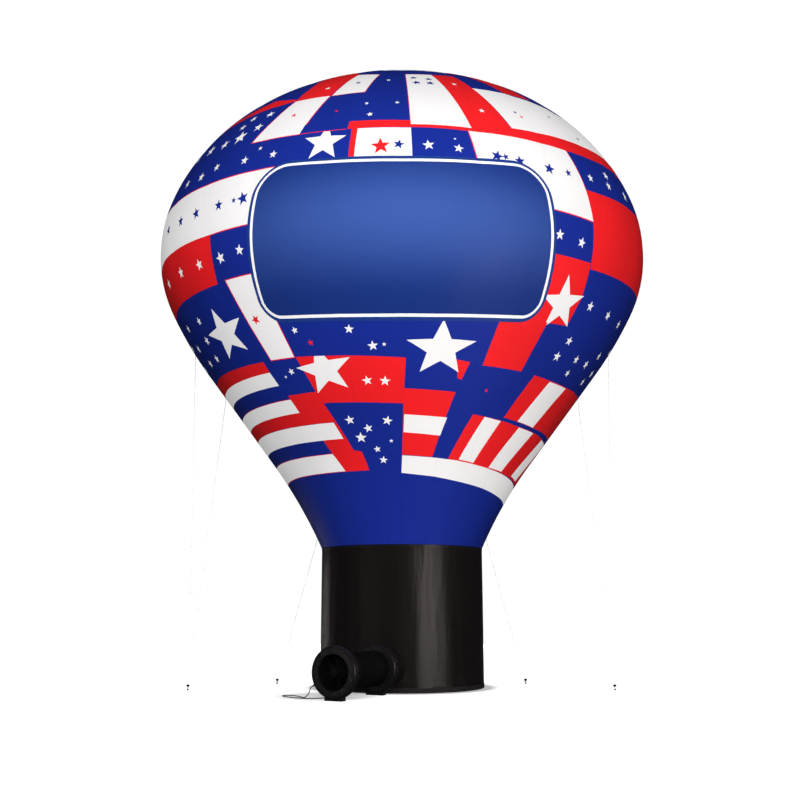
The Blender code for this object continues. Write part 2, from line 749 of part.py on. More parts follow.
def build_gland():
    """The strain relief on the inlet ring's rim."""
    profile = [
        (0, GLAND_LENGTH),
        (CORD_RADIUS + 0.0015, GLAND_LENGTH),
        (GLAND_RADIUS * 0.7, GLAND_NUT + 0.0017),
        (GLAND_RADIUS, GLAND_NUT),
        (GLAND_RADIUS, 0),
        (0, 0),
    ]
    turned("cord_gland", profile, "black plastic", GLAND_STEPS, False, matrix=gland_frame())


def build_cord():
    """The cord from the gland to its coil, the coil, and the tail on to the plug."""
    frame = gland_frame()
    out = frame.to_3x3() @ Vector((0, 0, 1))
    start = frame.translation + out * (GLAND_LENGTH + GAP)
    route = [start, start + out * CORD_STRAIGHT] + [Vector(point) for point in CORD_ROUTE]
    tube("power_cord", smooth_path(route, CORD_STEP), CORD_RADIUS, "rubber")
    tube("power_cord_tail", [Vector(point) for point in TAIL_ROUTE], CORD_RADIUS, "rubber")
    outer = COIL_RADIUS + COIL_WIDTH / 2
    inner = COIL_RADIUS - COIL_WIDTH / 2
    soft = CORD_RADIUS
    section = [
        (inner + soft, COIL_HEIGHT),
        (outer - soft, COIL_HEIGHT),
        (outer, COIL_HEIGHT - soft),
        (outer, soft),
        (outer - soft, 0),
        (inner + soft, 0),
        (inner, soft),
        (inner, COIL_HEIGHT - soft),
    ]
    at = Matrix.Translation(COIL_CENTRE)
    turned("power_cord_coil", section, "rubber", COIL_STEPS, matrix=at)


def build_plug():
    """A moulded plug with two flat pins."""
    place = Matrix.Translation(PLUG_CENTRE)
    plug = box("power_plug", PLUG_SIZE, "rubber", place)
    bevel(plug, 0.005, 2)
    pins = [
        (PIN_SIZE, Matrix.Translation((side * PIN_SPACING / 2, PLUG_SIZE[1] / 2 + PIN_REACH, 0.001)))
        for side in (-1, 1)
    ]
    combine(plug, boxes("plug_pins", pins, None, matrix=place), "UNION")


def main():
    clear_scene()
    build_envelope()
    build_banner("banner_front", -1)
    build_banner("banner_back", 1)
    for tether in TETHERS:
        build_tether(*tether)
    for name, place in STAKES.items():
        build_stake(name, place)
    build_pedestal()
    build_fan_rings()
    build_ducts()
    build_guard()
    build_motor()
    build_impeller()
    build_feet()
    build_sleeve()
    build_gland()
    build_cord()
    build_plug()


main()
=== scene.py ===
"""Looks of the hot air balloon shaped inflatable: printed skin, banners, tethers, pedestal, fan and cord.

Metres, +Z up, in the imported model's frame. The front looks along -Y. Angles round the balloon are
degrees from the front, positive to the right as one looks at it.
"""

import logging
import math
from collections.abc import Sequence
from dataclasses import dataclass, field
from enum import Enum

import bmesh
import bpy
import numpy as np
from mathutils import Matrix, Vector
from mathutils.geometry import delaunay_2d_cdt


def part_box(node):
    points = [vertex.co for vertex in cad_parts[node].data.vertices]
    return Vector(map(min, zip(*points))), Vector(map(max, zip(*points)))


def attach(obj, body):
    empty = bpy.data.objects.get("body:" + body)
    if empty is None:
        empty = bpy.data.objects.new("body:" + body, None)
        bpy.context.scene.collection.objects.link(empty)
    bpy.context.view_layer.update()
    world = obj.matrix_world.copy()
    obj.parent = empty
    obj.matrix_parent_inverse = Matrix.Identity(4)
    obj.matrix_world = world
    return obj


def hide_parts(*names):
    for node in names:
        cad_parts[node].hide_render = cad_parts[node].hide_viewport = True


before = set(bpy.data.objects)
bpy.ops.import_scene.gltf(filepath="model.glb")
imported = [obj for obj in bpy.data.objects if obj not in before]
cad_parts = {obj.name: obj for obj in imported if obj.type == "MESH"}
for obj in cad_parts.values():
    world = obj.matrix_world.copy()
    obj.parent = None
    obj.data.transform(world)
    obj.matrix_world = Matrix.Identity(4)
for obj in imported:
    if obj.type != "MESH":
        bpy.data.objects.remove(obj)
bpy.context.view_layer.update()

LOG = logging.getLogger("inflatable")
BODY = "inflatable"
ROTOR = "fan_rotor"
GAP = 0.0003  # between pieces that touch

Pair = tuple[float, float]
Triple = tuple[float, float, float]

PURE_WHITE = (1.0, 1.0, 1.0)


class Slot(Enum):
    """Material slots."""

    ENVELOPE = "envelope_fabric"
    BANNER = "banner_fabric"
    PEDESTAL = "pedestal_fabric"
    WEBBING = "webbing"
    ROPE = "rope"
    STEEL = "steel"
    PLASTIC = "black_plastic"
    PAINT = "dark_paint"
    RUBBER = "rubber"
    CORD = "cord_rubber"


class Ink(Enum):
    """Colours of the print, as places in the skin's list of finishes."""

    BLUE = 0
    RED = 1
    WHITE = 2


# Shader nodes


class Nodes:
    """A material's nodes, which are added one by one."""

    def __init__(self, name: str) -> None:
        """Makes the material and keeps its main shader.

        Args:
            name: The material's name.
        """
        self.material = bpy.data.materials.new(name)
        self.material.use_nodes = True
        self.tree = self.material.node_tree
        self.shader = self.tree.nodes["Principled BSDF"]

    def add(self, kind: str, settings: dict | None = None, **inputs: object) -> bpy.types.Node:
        """Adds a node.

        Args:
            kind: The node's type without its ShaderNode prefix.
            settings: Values of the node's own properties.
            inputs: What its inputs get, by socket name with _ for a space.

        Returns:
            The node.
        """
        node = self.tree.nodes.new("ShaderNode" + kind)
        for key, value in (settings or {}).items():
            setattr(node, key, value)
        self.feed(node, **inputs)
        return node

    def feed(self, node: bpy.types.Node, *values: object, **inputs: object) -> None:
        """Sets or links a node's inputs.

        Args:
            node: The node.
            values: Values, or output sockets to link, for its first inputs.
            inputs: The same for inputs by name, with _ for a space.
        """
        named = [(key.replace("_", " "), value) for key, value in inputs.items()]
        for key, value in [*enumerate(values), *named]:
            socket = node.inputs[key]
            if isinstance(value, bpy.types.NodeSocket):
                self.tree.links.new(value, socket)
            elif socket.type == "RGBA":
                socket.default_value = (*value, 1.0)
            else:
                socket.default_value = value

    def math(self, operation: str, *values: object) -> bpy.types.NodeSocket:
        """Adds a Math node.

        Args:
            operation: Its operation.
            values: Its inputs, numbers or sockets.

        Returns:
            Its output.
        """
        node = self.add("Math", {"operation": operation})
        self.feed(node, *values)
        return node.outputs[0]

    def ramp(self, value: object, low: Pair, high: Pair) -> bpy.types.NodeSocket:
        """Maps a value from one range to another, smoothly and held at both ends.

        Args:
            value: The socket that it maps.
            low: Where the range starts, and what it gives there.
            high: Where the range ends, and what it gives there.

        Returns:
            The mapped value.
        """
        node = self.add("MapRange", {"interpolation_type": "SMOOTHSTEP"})
        self.feed(node, value, low[0], high[0], low[1], high[1])
        return node.outputs[0]

    def noise(self, where: object, scale: float, detail: float = 3.0) -> bpy.types.NodeSocket:
        """A noise texture from 0 to 1, with this many waves in a metre."""
        return self.add("TexNoise", Vector=where, Scale=scale, Detail=detail).outputs[0]

    def tint(self, colour: Triple, other: Triple, share: object) -> bpy.types.NodeSocket:
        """Mixes two colours.

        Args:
            colour: The colour where share is 0.
            other: The colour where share is 1.
            share: From 0 to 1.

        Returns:
            The mixed colour.
        """
        node = self.add("Mix", {"data_type": "RGBA"})
        self.feed(node, share)
        node.inputs[6].default_value = (*colour, 1.0)
        node.inputs[7].default_value = (*other, 1.0)
        return node.outputs[2]

    def bumps(self, *layers: tuple[object, float]) -> bpy.types.NodeSocket:
        """Adds bumps, each on the one before.

        Args:
            layers: Each bump's height from 0 to 1, and what 1 stands for in metres.

        Returns:
            The normal.
        """
        normal = {}
        for height, depth in layers:
            node = self.add("Bump", Height=height, Distance=depth, Strength=1.0, **normal)
            normal = {"Normal": node.outputs[0]}
        return normal["Normal"]

    def place(self) -> bpy.types.NodeSocket:
        """The point's place on the piece, in metres."""
        return self.add("TexCoord").outputs["Object"]

    def distance(self, where: object, middle: Triple) -> bpy.types.NodeSocket:
        """Adds the distance from a point.

        Args:
            where: The coordinates' socket.
            middle: The point.

        Returns:
            The distance, in metres.
        """
        node = self.add("VectorMath", {"operation": "DISTANCE"})
        self.feed(node, where, middle)
        return node.outputs["Value"]

    def cloth(self) -> tuple[bpy.types.NodeSocket, bpy.types.NodeSocket]:
        """Metres across and along the cloth, from the piece's UV map."""
        split = self.add("SeparateXYZ", Vector=self.add("UVMap", {"uv_map": "cloth"}).outputs[0])
        return split.outputs[0], split.outputs[1]

    def wave(self, along: object, pitch: float) -> bpy.types.NodeSocket:
        """A sine wave from 0 to 1 along a distance, with this pitch."""
        turned = self.math("SINE", self.math("MULTIPLY", along, 2 * math.pi / pitch))
        return self.math("MULTIPLY_ADD", turned, 0.5, 0.5)

    def weave(self, pitch: float, rule: str = "MULTIPLY") -> bpy.types.NodeSocket:
        """Threads across and along the cloth, whose waves meet by this Math rule."""
        across, along = self.cloth()
        return self.math(rule, self.wave(across, pitch), self.wave(along, pitch))


@dataclass(frozen=True)
class Finish:
    """A finish with a colour, a gloss and a way to dress the nodes."""

    name: str
    colour: Triple
    roughness: float = 0.5
    metallic: float = 0.0
    specular: float = 0.5
    through: float = 0.0  # painted glow: its own light, in place of light that would pass through it to its shaded side

    def material(self) -> bpy.types.Material:
        """Makes the material, once.

        Returns:
            The material.
        """
        found = bpy.data.materials.get(self.name)
        if found:
            return found
        nodes = Nodes(self.name)
        # a through above 0 makes the finish glow: painted light that lifts its shaded side
        nodes.feed(
            nodes.shader, Base_Color=self.colour, Roughness=self.roughness, Metallic=self.metallic,
            Specular_IOR_Level=self.specular, Emission_Color=PURE_WHITE, Emission_Strength=self.through,
        )
        nodes.material.diffuse_color = (*self.colour, 1.0)
        self.dress(nodes)
        return nodes.material

    def dress(self, nodes: Nodes) -> None:
        """Adds what makes the finish more than a colour."""
        raise NotImplementedError

    def gloss(self, nodes: Nodes, patches: object, low: Pair, high: Pair) -> bpy.types.NodeSocket:
        """Roughness by a noise: each pair is a value of it, and what it multiplies the roughness by."""
        return nodes.ramp(patches, (low[0], self.roughness * low[1]), (high[0], self.roughness * high[1]))

    def shade(self, nodes: Nodes, share: object, strength: float) -> bpy.types.NodeSocket:
        """The finish's colour, and darker by this strength where share is 1."""
        dark = tuple(c * (1 - strength) for c in self.colour)
        return nodes.tint(self.colour, dark, share)


@dataclass(frozen=True)
class CoatedNylon(Finish):
    """Light coated nylon: a fine plain weave, soft ripples, and seams with two rows of stitches."""

    thread: float = 0.0012
    thread_depth: float = 0.00006
    ripple: float = 0.004
    seam_half: float = 0.010
    seam_depth: float = 0.0004
    row: Pair = (0.0010, 0.0018)  # where a row of stitches starts to fade, and where it ends
    stitch: float = 0.006
    stitch_depth: float = 0.0008

    def dress(self, nodes: Nodes) -> None:
        """Adds the weave, the ripples and the seams.

        Args:
            nodes: The material's nodes.
        """
        place = nodes.place()
        seam = nodes.add("Attribute", {"attribute_name": "seam"}).outputs["Fac"]
        near = nodes.ramp(seam, (self.seam_half * 0.6, 1.0), (self.seam_half, 0.0))
        off_row = nodes.math("ABSOLUTE", nodes.math("SUBTRACT", seam, self.seam_half * 0.6))
        row = nodes.ramp(off_row, (self.row[0], 1.0), (self.row[1], 0.0))
        stitches = nodes.math("MULTIPLY", row, nodes.wave(nodes.cloth()[1], self.stitch))
        mottle = nodes.ramp(nodes.noise(place, 0.8, 4.0), (0.35, 0.0), (0.75, 1.0))
        dark = nodes.math("MAXIMUM", nodes.math("MULTIPLY", near, 0.4), mottle)
        nodes.feed(
            nodes.shader,
            Base_Color=self.shade(nodes, dark, 0.10),
            Roughness=self.gloss(nodes, nodes.noise(place, 3.1), (0.3, 1), (0.7, 1.2)),
            Normal=nodes.bumps(
                (nodes.noise(place, 1.7, 2.0), self.ripple),
                (nodes.weave(self.thread), self.thread_depth),
                (near, self.seam_depth),
                (stitches, self.stitch_depth),
            ),
        )


@dataclass(frozen=True)
class BannerCloth(Finish):
    """Heavier smooth cloth, with a painted highlight where glow is set: lighter in the middle of the banner
    and darker low down.
    """

    # glow is the colour of a painted highlight, which the banner's middle is mixed towards
    glow: Triple | None = None
    glow_height: float = 3.86
    glow_reach: float = 1.30
    glow_squash: Pair = (0.50, 2.1)  # how much faster it fades across and up than in a circle
    thread: float = 0.0009
    thread_depth: float = 0.00005
    dent: float = 0.003

    def dress(self, nodes: Nodes) -> None:
        """Adds the painted highlight, the weave and soft dents.

        Args:
            nodes: The material's nodes.
        """
        place = nodes.place()
        # painted highlight: the colour is mixed towards glow near the banner's upper middle and fades out
        # towards its edges and bottom
        if self.glow:
            wide, tall = self.glow_squash
            flat = nodes.add("VectorMath", {"operation": "MULTIPLY"})
            nodes.feed(flat, place, (wide, 0.0, tall))
            far = nodes.distance(flat.outputs[0], (0.0, 0.0, self.glow_height * tall))
            share = nodes.ramp(far, (0.1, 1.0), (self.glow_reach, 0.0))
            nodes.feed(nodes.shader, Base_Color=nodes.tint(self.colour, self.glow, share))
        nodes.feed(
            nodes.shader,
            Roughness=self.gloss(nodes, nodes.noise(place, 4.0), (0.3, 1), (0.7, 1.25)),
            Normal=nodes.bumps(
                (nodes.noise(place, 2.3, 2.0), self.dent), (nodes.weave(self.thread), self.thread_depth)
            ),
        )


@dataclass(frozen=True)
class Tarpaulin(Finish):
    """Heavy coated fabric: a coarse basket weave under a glossy coat, with scuffs low down."""

    thread: float = 0.0022
    thread_depth: float = 0.00012
    pull: float = 0.012
    scuff: Triple = (0.013, 0.012, 0.0115)
    scuff_height: float = 0.30

    def dress(self, nodes: Nodes) -> None:
        """Adds the weave, pulled lines and scuffs.

        Args:
            nodes: The material's nodes.
        """
        place = nodes.place()
        height = nodes.add("SeparateXYZ", Vector=place).outputs[2]
        stretch = nodes.add("Mapping", Vector=place, Scale=(6.0, 6.0, 0.7)).outputs[0]
        speckle = nodes.noise(place, 38.0, 6.0)
        low = nodes.ramp(height, (0.0, 1.0), (self.scuff_height, 0.0))
        scuffs = nodes.math("MULTIPLY", low, nodes.ramp(speckle, (0.52, 0.0), (0.72, 1.0)))
        threads = nodes.weave(self.thread, "MAXIMUM")
        nodes.feed(
            nodes.shader,
            Base_Color=nodes.tint(self.colour, self.scuff, scuffs),
            Roughness=self.gloss(nodes, speckle, (0.3, 1), (0.8, 1.5)),
            Normal=nodes.bumps((nodes.noise(stretch, 1.0), self.pull), (threads, self.thread_depth)),
        )


@dataclass(frozen=True)
class Webbing(Finish):
    """Woven strap with ribs across it and lint."""

    rib: float = 0.0018
    rib_depth: float = 0.0004

    def dress(self, nodes: Nodes) -> None:
        """Adds the ribs and the lint.

        Args:
            nodes: The material's nodes.
        """
        across, along = nodes.cloth()
        ribs = nodes.math("MULTIPLY", nodes.wave(along, self.rib), nodes.wave(across, self.rib * 1.6))
        lint = nodes.noise(nodes.place(), 400.0, 2.0)
        colour = self.shade(nodes, lint, 0.5)
        nodes.feed(nodes.shader, Base_Color=colour, Normal=nodes.bumps((ribs, self.rib_depth)))


@dataclass(frozen=True)
class TwistedRope(Finish):
    """Three-strand rope: the strands run round it in a long twist."""

    lay: float = 0.020
    girth: float = 0.019
    strand_depth: float = 0.0004

    def dress(self, nodes: Nodes) -> None:
        """Adds the strands and painted shade in the grooves between them.

        Args:
            nodes: The material's nodes.
        """
        across, along = nodes.cloth()
        turns = nodes.math("MULTIPLY", across, 3 * self.lay / self.girth)
        strands = nodes.wave(nodes.math("ADD", along, turns), self.lay)
        # painted shade: the colour darkens by 12% in the grooves between the strands
        colour = self.shade(nodes, nodes.ramp(strands, (0.0, 1.0), (0.45, 0.0)), 0.12)
        nodes.feed(nodes.shader, Base_Color=colour, Normal=nodes.bumps((strands, self.strand_depth)))


@dataclass(frozen=True)
class Moulded(Finish):
    """Moulded plastic or rubber with a fine grain, dust and rubbed patches."""

    grain: float = 900.0
    depth: float = 0.00008
    dust: Triple = (0.10, 0.098, 0.095)
    dust_share: float = 0.06

    def dress(self, nodes: Nodes) -> None:
        """Adds the grain and the dust.

        Args:
            nodes: The material's nodes.
        """
        place = nodes.place()
        patches = nodes.noise(place, 22.0, 5.0)
        share = nodes.math("MULTIPLY", nodes.ramp(patches, (0.5, 0.0), (0.8, 1.0)), self.dust_share)
        nodes.feed(
            nodes.shader,
            Base_Color=nodes.tint(self.colour, self.dust, share),
            Roughness=self.gloss(nodes, patches, (0.3, 0.85), (0.75, 1.3)),
            Normal=nodes.bumps((nodes.noise(place, self.grain, 2.0), self.depth)),
        )


@dataclass(frozen=True)
class Metal(Finish):
    """Plated or painted metal with fine scratches and dull patches."""

    scratch: float = 0.00003
    worn: Triple = (0.05, 0.048, 0.046)
    worn_share: float = 0.20

    def dress(self, nodes: Nodes) -> None:
        """Adds the scratches, the dull patches and the wear.

        Args:
            nodes: The material's nodes.
        """
        place = nodes.place()
        stretch = nodes.add("Mapping", Vector=place, Scale=(14.0, 14.0, 90.0)).outputs[0]
        patches = nodes.noise(place, 45.0, 5.0)
        share = nodes.math("MULTIPLY", nodes.ramp(patches, (0.58, 0.0), (0.8, 1.0)), self.worn_share)
        nodes.feed(
            nodes.shader,
            Base_Color=nodes.tint(self.colour, self.worn, share),
            Roughness=self.gloss(nodes, patches, (0.3, 0.8), (0.8, 1.5)),
            Normal=nodes.bumps((nodes.noise(stretch, 12.0), self.scratch)),
        )


SKIN_INKS = (
    CoatedNylon("blue_nylon", (0.0075, 0.0215, 0.240), 0.46, specular=0.20),
    CoatedNylon("red_nylon", (0.800, 0.014, 0.018), 0.46, specular=0.20),
    # white_nylon's through is a painted glow, which flattens the white's shading
    CoatedNylon("white_nylon", (0.530, 0.515, 0.515), 0.46, specular=0.25, through=0.33),
)
BANNER_INKS = (
    # banner_blue's glow is a painted highlight over the middle of the banner
    BannerCloth("banner_blue", (0.0078, 0.026, 0.158), 0.45, specular=0.15, glow=(0.033, 0.074, 0.285)),
    BannerCloth("banner_navy", (0.010, 0.035, 0.190), 0.45, specular=0.25),
    BannerCloth("banner_white", (0.85, 0.85, 0.85), 0.40, specular=0.35),
)
DUST = (0.03, 0.03, 0.03)
NEAR_BLACK = (0.003, 0.003, 0.003)
TARPAULIN = Tarpaulin("black_tarpaulin", (0.0050, 0.0041, 0.0040), 0.30, specular=0.40)
STRAP = Webbing("black_webbing", (0.012, 0.011, 0.0105), 0.75)
THREAD = Moulded("black_thread", (0.035, 0.035, 0.036), 0.60, depth=0.00004)
# the rope's through is a painted glow, which keeps it pale on its shaded side
ROPE = TwistedRope("white_rope", (0.94, 0.94, 0.93), 0.70, through=0.12)
PLATED = Metal("zinc_plate", (0.56, 0.57, 0.58), 0.30, 1.0, worn=(0.40, 0.39, 0.37))
PAINTED = Metal(
    "black_paint", (0.0030, 0.0028, 0.0028), 0.55, specular=0.15, scratch=0.00002, worn_share=0.08
)
WIRE = Metal("coated_wire", NEAR_BLACK, 0.50, specular=0.15, scratch=0.00001, worn_share=0.05)
BRASS = Metal("brass_pins", (0.70, 0.50, 0.20), 0.28, 1.0, worn=(0.45, 0.30, 0.12))
PLASTIC = Moulded(
    "black_moulding", (0.0055, 0.0052, 0.0052), 0.30, depth=0.00003, dust=(0.03, 0.029, 0.028)
)
# painted shade: a darker, less dusty copy of the black moulding, for the impeller deep in the duct's shade
SHADED_BLADES = Moulded("blade_moulding_in_shade", NEAR_BLACK, 0.50, specular=0.2, depth=0.00003, dust=(0.01, 0.01, 0.01))
RUBBER = Moulded("black_rubber", (0.006, 0.006, 0.006), 0.65, grain=500.0, dust=DUST)
JACKET = Moulded("cord_jacket", (0.005, 0.005, 0.005), 0.48, grain=700.0, depth=0.00005, dust=DUST)


# Shapes


@dataclass
class Shape:
    """A mesh that is being put together: points, faces, and for each face its cloth places and ink."""

    points: list[Vector] = field(default_factory=list)
    faces: list[tuple[int, ...]] = field(default_factory=list)
    cloth: list[list[Pair]] = field(default_factory=list)
    inks: list[int] = field(default_factory=list)

    def add(self, other: "Shape", place: Matrix | None = None, ink: int | None = None) -> "Shape":
        """Adds another shape.

        Args:
            other: The shape that is added.
            place: Where it goes.
            ink: Its place in the list of finishes, or None to keep its own.

        Returns:
            This shape.
        """
        first = len(self.points)
        self.points += [place @ p if place else p.copy() for p in other.points]
        self.faces += [tuple(first + i for i in f) for f in other.faces]
        self.cloth += other.cloth
        self.inks += other.inks if ink is None else [ink] * len(other.faces)
        return self

    def face(self, corners: Sequence[int], marks: Sequence[Pair], ink: int = 0) -> None:
        """Adds a face.

        Args:
            corners: Its points, by number.
            marks: The points' places on the cloth.
            ink: Its place in the list of finishes.
        """
        self.faces.append(tuple(corners))
        self.cloth.append(list(marks))
        self.inks.append(ink)

    def piece(
        self,
        name: str,
        finishes: Finish | tuple[Finish, ...],
        slot: Slot,
        replaces: tuple[str, ...] = (),
        body: str = BODY,
        sharp: float = 35.0,
    ) -> bpy.types.Object:
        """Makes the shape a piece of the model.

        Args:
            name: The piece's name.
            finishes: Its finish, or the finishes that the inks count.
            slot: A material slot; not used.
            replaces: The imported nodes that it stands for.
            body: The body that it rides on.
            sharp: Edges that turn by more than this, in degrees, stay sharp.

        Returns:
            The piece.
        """
        mesh = bpy.data.meshes.new(name)
        mesh.from_pydata(self.points, [], self.faces)
        layer = mesh.uv_layers.new(name="cloth")
        places = np.array([p for face in self.cloth for p in face], np.float32)
        layer.data.foreach_set("uv", places.ravel())
        for finish in finishes if isinstance(finishes, tuple) else (finishes,):
            mesh.materials.append(finish.material())
        mesh.polygons.foreach_set("material_index", self.inks)
        mesh.shade_smooth()
        mesh.set_sharp_from_angle(angle=math.radians(sharp))
        return placed(name, mesh, replaces, body)


def placed(
    name: str, data: bpy.types.ID, replaces: tuple[str, ...] = (), body: str = BODY
) -> bpy.types.Object:
    """Links a mesh or curve as a piece that rides on a body.

    Args:
        name: The piece's name.
        data: Its mesh or curve.
        replaces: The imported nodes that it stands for.
        body: The body that it rides on.

    Returns:
        The piece.
    """
    piece = bpy.data.objects.new(name, data)
    bpy.context.scene.collection.objects.link(piece)
    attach(piece, body)
    if replaces:
        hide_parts(*replaces)
    count = len(data.polygons) if isinstance(data, bpy.types.Mesh) else 0
    LOG.info("%s rides on %s, %d faces", name, body, count)
    return piece


def filleted(points: list[tuple[float, ...]], closed: bool, steps: int = 4) -> list[Pair]:
    """Rounds an outline's corners.

    Args:
        points: Corners, each with its radius as a third number where it is rounded.
        closed: Whether the last corner joins the first.
        steps: Stretches in each rounding.

    Returns:
        The rounded outline.
    """
    found: list[Pair] = []
    count = len(points)
    for i, corner in enumerate(points):
        at = Vector(corner[:2])
        radius = corner[2] if len(corner) > 2 else 0.0
        if not radius or (not closed and i in (0, count - 1)):
            found.append((at.x, at.y))
            continue
        back = (Vector(points[i - 1][:2]) - at).normalized()
        ahead = (Vector(points[(i + 1) % count][:2]) - at).normalized()
        half = back.angle(ahead) / 2
        reach = radius / math.tan(half)
        centre = at + (back + ahead).normalized() * (radius / math.sin(half))
        start, end = at + back * reach - centre, at + ahead * reach - centre
        for k in range(steps + 1):
            arm = start.lerp(end, k / steps).normalized() * radius
            found.append((centre.x + arm.x, centre.y + arm.y))
    return found


def polar(radius: float, angle: float, height: float = 0.0) -> Vector:
    """A point this far from local Z, at this angle and height."""
    return Vector((radius * math.cos(angle), radius * math.sin(angle), height))


def turned(section: list[Pair], steps: int = 96, closed: bool = True) -> Shape:
    """Turns a section round local Z.

    Args:
        section: (radius, height) points that run down the outer side.
        steps: Faces round it.
        closed: Whether the last point joins the first.

    Returns:
        The turned shape.
    """
    shape = Shape()
    rings: list[list[int]] = []
    for radius, height in section:
        first = len(shape.points)
        count = steps if radius else 1
        shape.points += [polar(radius, 2 * math.pi * k / steps, height) for k in range(count)]
        rings.append([first + k % count for k in range(steps)])
    girth = 2 * math.pi * max(r for r, _ in section)
    v0 = 0.0
    pairs = list(zip(section, section[1:] + section[:1], rings, rings[1:] + rings[:1]))
    for start, end, upper, lower in pairs if closed else pairs[:-1]:
        v1 = v0 + math.dist(start, end)
        for k in range(steps):
            n = (k + 1) % steps
            corners = [upper[n], upper[k], lower[k], lower[n]]
            u0, u1 = girth * k / steps, girth * (k + 1) / steps
            marks = [(u1, v0), (u0, v0), (u0, v1), (u1, v1)]
            if upper[n] == upper[k]:
                corners, marks = corners[1:], marks[1:]
            elif lower[n] == lower[k]:
                corners, marks = corners[:3], marks[:3]
            if len(set(corners)) > 2:
                shape.face(corners, marks)
        v0 = v1
    return shape


def walked(path: list[Vector]) -> list[float]:
    """How far along a path each of its points is.

    Args:
        path: The path's points.

    Returns:
        A distance for each.
    """
    found = [0.0]
    for a, b in zip(path, path[1:]):
        found.append(found[-1] + (b - a).length)
    return found


def helix(
    start: Vector,
    first: Vector,
    second: Vector,
    radius: float,
    steps: int,
    turns: int = 1,
    rise: Vector = Vector(),
) -> list[Vector]:
    """Points of a coil.

    Args:
        start: Its axis's first point.
        first: The way from the axis to its first point.
        second: The way a quarter turn on.
        radius: Its radius.
        steps: Points in a turn.
        turns: Its turns.
        rise: How far it goes in a turn.

    Returns:
        The points, the last one where the last turn ends.
    """
    found = []
    for k in range(turns * steps + 1):
        a = 2 * math.pi * k / steps
        out = first * (radius * math.cos(a)) + second * (radius * math.sin(a))
        found.append(start + rise * (k / steps) + out)
    return found


def lofted(
    rings: list[list[Vector]],
    across: list[Pair],
    along: list[float],
    outward: bool = False,
    caps: list[Pair] | None = None,
) -> Shape:
    """Joins rings or rows of points to a skin.

    Args:
        rings: The rings, with as many points each.
        across: The two places across the cloth of each side of a ring.
        along: Each ring's place along the cloth, and one more where the last ring joins the first.
        outward: Whether the rings run anticlockwise as one looks back along the skin.
        caps: The corners' places on the cloth of the faces that close the two ends.

    Returns:
        The skin.
    """
    shape = Shape([point for ring in rings for point in ring])
    wide = len(rings[0])
    order = (0, 1, 2, 3) if outward else (1, 0, 3, 2)
    for i, (v0, v1) in enumerate(zip(along, along[1:])):
        a, b = i * wide, (i + 1) % len(rings) * wide
        for k, (u0, u1) in enumerate(across):
            n = (k + 1) % wide
            corners = (a + k, a + n, b + n, b + k)
            marks = ((u0, v0), (u1, v0), (u1, v1), (u0, v1))
            shape.face([corners[j] for j in order], [marks[j] for j in order])
    if caps:
        turn = -1 if outward else 1
        last = (len(rings) - 1) * wide
        shape.face(range(wide)[::turn], caps[::turn])
        shape.face(range(last, last + wide)[::-turn], caps[::-turn])
    return shape


def swept(path: list[Vector], section: list[Pair], closed: bool = False) -> Shape:
    """Carries a closed section along a path, turning as little as it can.

    Args:
        path: Points of the path.
        section: (across, up) points, anticlockwise as one looks back along the path.
        closed: Whether the path is a ring.

    Returns:
        The swept shape, with flat ends where it is open.
    """
    rings = []
    side = None
    for i, point in enumerate(path):
        before = path[i - 1] if i or closed else point
        after = path[(i + 1) % len(path)] if i < len(path) - 1 or closed else point
        along = (after - before).normalized()
        if side is None:
            side = along.orthogonal().normalized()
        else:
            side = (side - along * side.dot(along)).normalized()
        raised = side.cross(along)
        rings.append([point + side * x + raised * y for x, y in section])
    girth = [0.0]
    for a, b in zip(section, section[1:] + section[:1]):
        girth.append(girth[-1] + math.dist(a, b))
    reaches = walked(path + path[:1] if closed else path)
    return lofted(rings, list(zip(girth, girth[1:])), reaches, True, None if closed else section)


def round_section(radius: float, sides: int = 12) -> list[Pair]:
    """A round section for swept()."""
    angles = [2 * math.pi * k / sides for k in range(sides)]
    return [(radius * math.cos(a), radius * math.sin(a)) for a in angles]


def block(size: Triple, rounding: float = 0.0, segments: int = 3) -> Shape:
    """A box with rounded edges, its middle at the origin.

    Args:
        size: Its three sides.
        rounding: Radius of its edges.
        segments: Faces across each rounding.

    Returns:
        The box.
    """
    work = bmesh.new()
    bmesh.ops.create_cube(work, size=1.0, matrix=Matrix.Diagonal((*size, 1.0)))
    if rounding:
        bmesh.ops.bevel(
            work, geom=work.edges[:], offset=rounding, segments=segments, profile=0.5, affect="EDGES"
        )
    shape = Shape([v.co.copy() for v in work.verts])
    work.verts.index_update()
    for face in work.faces:
        facing = max(range(3), key=lambda i: abs(face.normal[i]))
        u, v = (i for i in range(3) if i != facing)
        shape.face([c.index for c in face.verts], [(c.co[u], c.co[v]) for c in face.verts])
    work.free()
    return shape


def frame_of(across: Vector, up: Vector, normal: Vector, origin: Vector) -> Matrix:
    """A matrix with these axes at this origin.

    Args:
        across: Its X axis.
        up: Its Y axis.
        normal: Its Z axis.
        origin: Its place.

    Returns:
        The matrix.
    """
    made = Matrix((across, up, normal)).transposed().to_4x4()
    made.translation = origin
    return made


